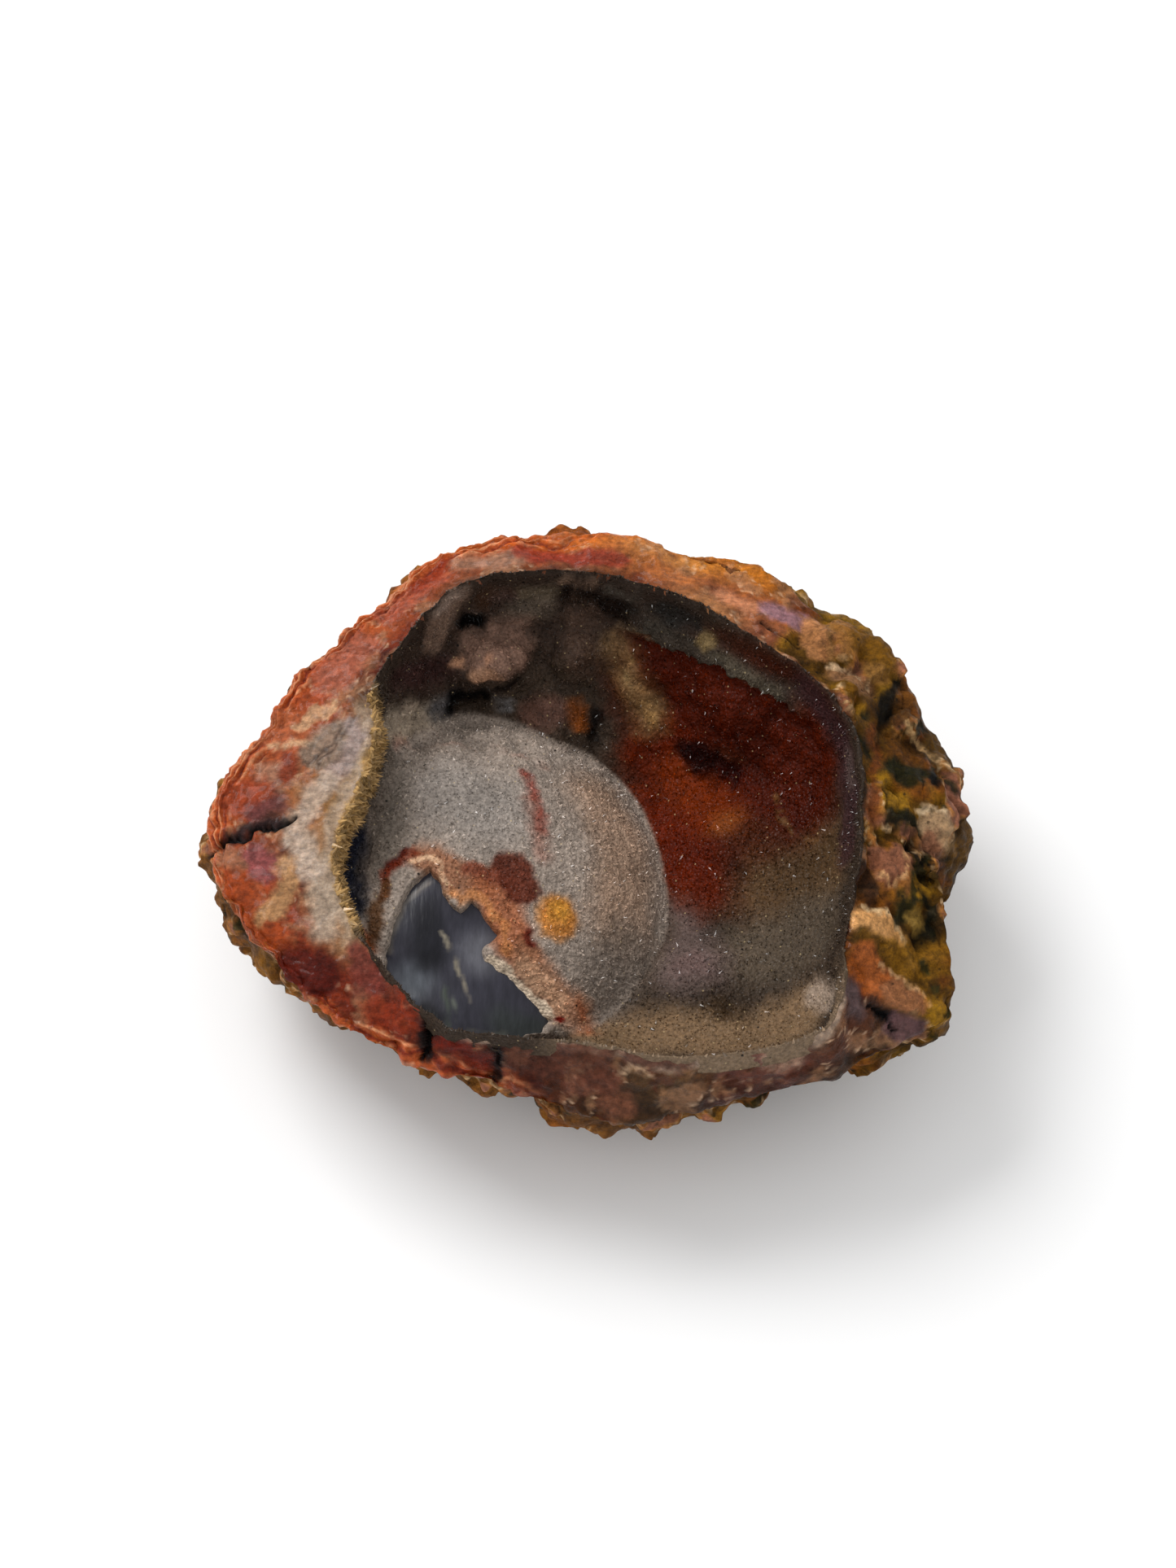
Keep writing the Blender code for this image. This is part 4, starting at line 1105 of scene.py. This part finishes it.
def make_crystals(settings, lining):
    """Stands small quartz points on the lining, most thickly along the hollow's left edge."""
    rng = np.random.default_rng(settings.seed)
    points = coordinates(lining) / MM
    outward = normals(lining)
    share, window, back = (read_field(lining, n) for n in ("share", "window", "back"))
    tint = np.empty(len(points) * 4, np.float32)
    lining.data.color_attributes["tint"].data.foreach_get("color", tint)
    tint = tint.reshape(-1, 4)[:, :3]
    angle = np.arctan2(points[:, 1], points[:, 0]) % math.tau
    standing = (back < 0.02) & (window < -0.4)
    fringe = between_directions(angle, *POINTED_FRINGE, 4) * smoothstep(0.965, 0.99, share)
    edge = smoothstep(0.95, 0.99, share)
    weight = np.where(standing, 0.35 + 9.0 * fringe + 1.5 * edge, 0)
    chosen = rng.choice(len(points), settings.crystals, replace=False, p=weight / weight.sum())

    corners, faces = crystal_shape()
    size = rng.uniform(0.14, 0.27, len(chosen)) * (1 + 0.9 * fringe[chosen])
    length = size * rng.uniform(0.8, 1.6, len(chosen)) * (1 + 0.5 * fringe[chosen])
    axis = outward[chosen] + rng.normal(0, 0.38, (len(chosen), 3))
    axis /= np.linalg.norm(axis, axis=1)[:, None]
    side = np.cross(axis, rng.normal(0, 1, (len(chosen), 3)))
    side /= np.linalg.norm(side, axis=1)[:, None]
    across = np.cross(axis, side)
    stretched = (corners[None, :, 0, None] * side[:, None] * size[:, None, None]
                 + corners[None, :, 1, None] * across[:, None] * size[:, None, None]
                 + corners[None, :, 2, None] * axis[:, None] * length[:, None, None])
    placed = points[chosen][:, None] + stretched + 0.15 * axis[:, None] * length[:, None, None]
    count = len(corners)
    all_faces = (faces[None] + count * np.arange(len(chosen))[:, None, None]).reshape(-1, 3)

    mesh = bpy.data.meshes.new("quartz_points")
    mesh.from_pydata((placed.reshape(-1, 3) * MM).tolist(), [], all_faces.tolist())
    piece = bpy.data.objects.new("quartz_points", mesh)
    bpy.context.scene.collection.objects.link(piece)
    brightness = rng.uniform(0.75, 1.45, len(chosen))
    write_tint(piece, np.repeat(tint[chosen] ** (1 / COLOUR_DEPTH) * brightness[:, None], count, axis=0))
    return piece


# --- settings, operators and panel ---


class StoneForm(bpy.types.PropertyGroup):
    """How finely the stone is modelled."""

    fineness: IntProperty(
        name="Fineness", description="Subdivisions of the sphere each surface starts from", default=8, min=5,
        max=9)
    triangles: IntProperty(
        name="Triangles", description="Triangles left in each of the two big surfaces", default=196000,
        min=1000)
    druse_thickness: FloatProperty(
        name="Druse thickness", description="Thickness of the lining over the clear chalcedony, in mm",
        default=1.3, min=0.5, max=3.0)
    crystals: IntProperty(
        name="Quartz points", description="Single crystals that stand on the lining", default=15000, min=0)
    seed: IntProperty(name="Seed", description="Where the single crystals stand", default=7)


class StoneStage(bpy.types.PropertyGroup):
    """Camera, paper and light."""

    elevation: FloatProperty(
        name="Camera elevation", description="How far the camera looks down", default=math.radians(60),
        subtype="ANGLE", unit="ROTATION")
    distance: FloatProperty(
        name="Camera distance", description="From the middle of the stone to the camera", default=0.48,
        unit="LENGTH")
    nod: FloatProperty(
        name="Camera nod", description="Turn that sets the stone a little below the middle of the frame",
        default=math.radians(0.737), subtype="ANGLE", unit="ROTATION")
    aim: FloatVectorProperty(
        name="Aim", description="Point that the camera circles", default=(0.0, 0.0, 0.024), subtype="XYZ",
        unit="LENGTH")
    surroundings: FloatProperty(
        name="Surroundings", description="Strength of the white light from all round", default=0.82, min=0.0)
    reflections: FloatProperty(
        name="Reflections", description="Strength of that light in reflections, as between black cloths",
        default=0.25, min=0.0)
    key_place: FloatVectorProperty(
        name="Key light", description="Place of the large soft light", default=(-0.42, 0.40, 0.70),
        subtype="XYZ", unit="LENGTH")
    key_power: FloatProperty(
        name="Key power", description="Power of the large soft light", default=5.0, min=0.0, unit="POWER")


class STONE_OT_body(bpy.types.Operator):
    """Build the stone's body: broken face, weathered skin and clear chalcedony"""

    bl_idname = "stone.body"
    bl_label = "Stone body"

    def execute(self, context):
        piece = make_body(context.scene.stone_form)
        paint_body(piece)
        finish_body(piece)
        attach(piece)
        return {"FINISHED"}


class STONE_OT_lining(bpy.types.Operator):
    """Build the druse lining of the hollow"""

    bl_idname = "stone.lining"
    bl_label = "Druse lining"

    def execute(self, context):
        piece = make_lining(context.scene.stone_form)
        paint_lining(piece)
        piece.data.materials.append(druse_material())
        attach(piece)
        return {"FINISHED"}


class STONE_OT_crystals(bpy.types.Operator):
    """Stand single quartz points on the druse lining"""

    bl_idname = "stone.crystals"
    bl_label = "Quartz points"

    def execute(self, context):
        piece = make_crystals(context.scene.stone_form, bpy.data.objects["druse_lining"])
        piece.data.materials.append(crystal_material())
        attach(piece)
        return {"FINISHED"}


class STONE_OT_stage(bpy.types.Operator):
    """Lay the paper, and set the camera and the lights"""

    bl_idname = "stone.stage"
    bl_label = "Stage"

    def execute(self, context):
        stage = context.scene.stone_stage
        bpy.ops.object.select_all(action="DESELECT")
        bpy.ops.mesh.primitive_plane_add(size=PAPER_SIZE)
        paper = context.object
        paper.name = paper.data.name = "paper"
        paper.data.materials.append(paper_material())

        aim = Vector(stage.aim)
        away = Vector((0, -math.cos(stage.elevation), math.sin(stage.elevation)))
        bpy.ops.object.camera_add(location=aim + away * stage.distance)
        camera = context.object
        camera.rotation_euler = (math.pi / 2 - stage.elevation + stage.nod, 0, 0)
        camera.data.lens = CAMERA_LENS
        context.scene.camera = camera

        world = bpy.data.worlds.new("studio")
        world.use_nodes = True
        background = world.node_tree.nodes["Background"]
        background.inputs["Color"].default_value = (1, 1, 1, 1)
        mirrored = add(world.node_tree, "ShaderNodeLightPath").outputs["Is Glossy Ray"]
        strength = add(world.node_tree, "ShaderNodeMapRange", None,
                       {"Value": mirrored, "To Min": stage.surroundings, "To Max": stage.reflections})
        world.node_tree.links.new(strength.outputs["Result"], background.inputs["Strength"])
        context.scene.world = world

        bpy.ops.object.light_add(type="AREA", location=stage.key_place)
        key = context.object
        key.data.size = KEY_SIZE
        key.data.energy = stage.key_power
        key.rotation_euler = (-Vector(stage.key_place)).to_track_quat("-Z", "Y").to_euler()
        context.scene.view_settings.view_transform = "Standard"
        return {"FINISHED"}


class STONE_PT_panel(bpy.types.Panel):
    """The stone's settings and the buttons that build it"""

    bl_idname = "STONE_PT_panel"
    bl_label = "Chalcedony Stone"
    bl_space_type = "VIEW_3D"
    bl_region_type = "UI"
    bl_category = "Stone"

    def draw(self, context):
        for group in (context.scene.stone_form, context.scene.stone_stage):
            box = self.layout.box()
            for name in group.__annotations__:
                box.prop(group, name)
        for operator in OPERATORS:
            self.layout.operator(operator.bl_idname)


OPERATORS = (STONE_OT_body, STONE_OT_lining, STONE_OT_crystals, STONE_OT_stage)
CLASSES = (StoneForm, StoneStage, *OPERATORS, STONE_PT_panel)


def register():
    for item in CLASSES:
        bpy.utils.register_class(item)
    bpy.types.Scene.stone_form = PointerProperty(type=StoneForm)
    bpy.types.Scene.stone_stage = PointerProperty(type=StoneStage)


def unregister():
    del bpy.types.Scene.stone_stage
    del bpy.types.Scene.stone_form
    for item in reversed(CLASSES):
        bpy.utils.unregister_class(item)


def main():
    register()
    bpy.ops.stone.body()
    bpy.ops.stone.lining()
    bpy.ops.stone.crystals()
    bpy.ops.stone.stage()


if __name__ == "__main__":
    main()
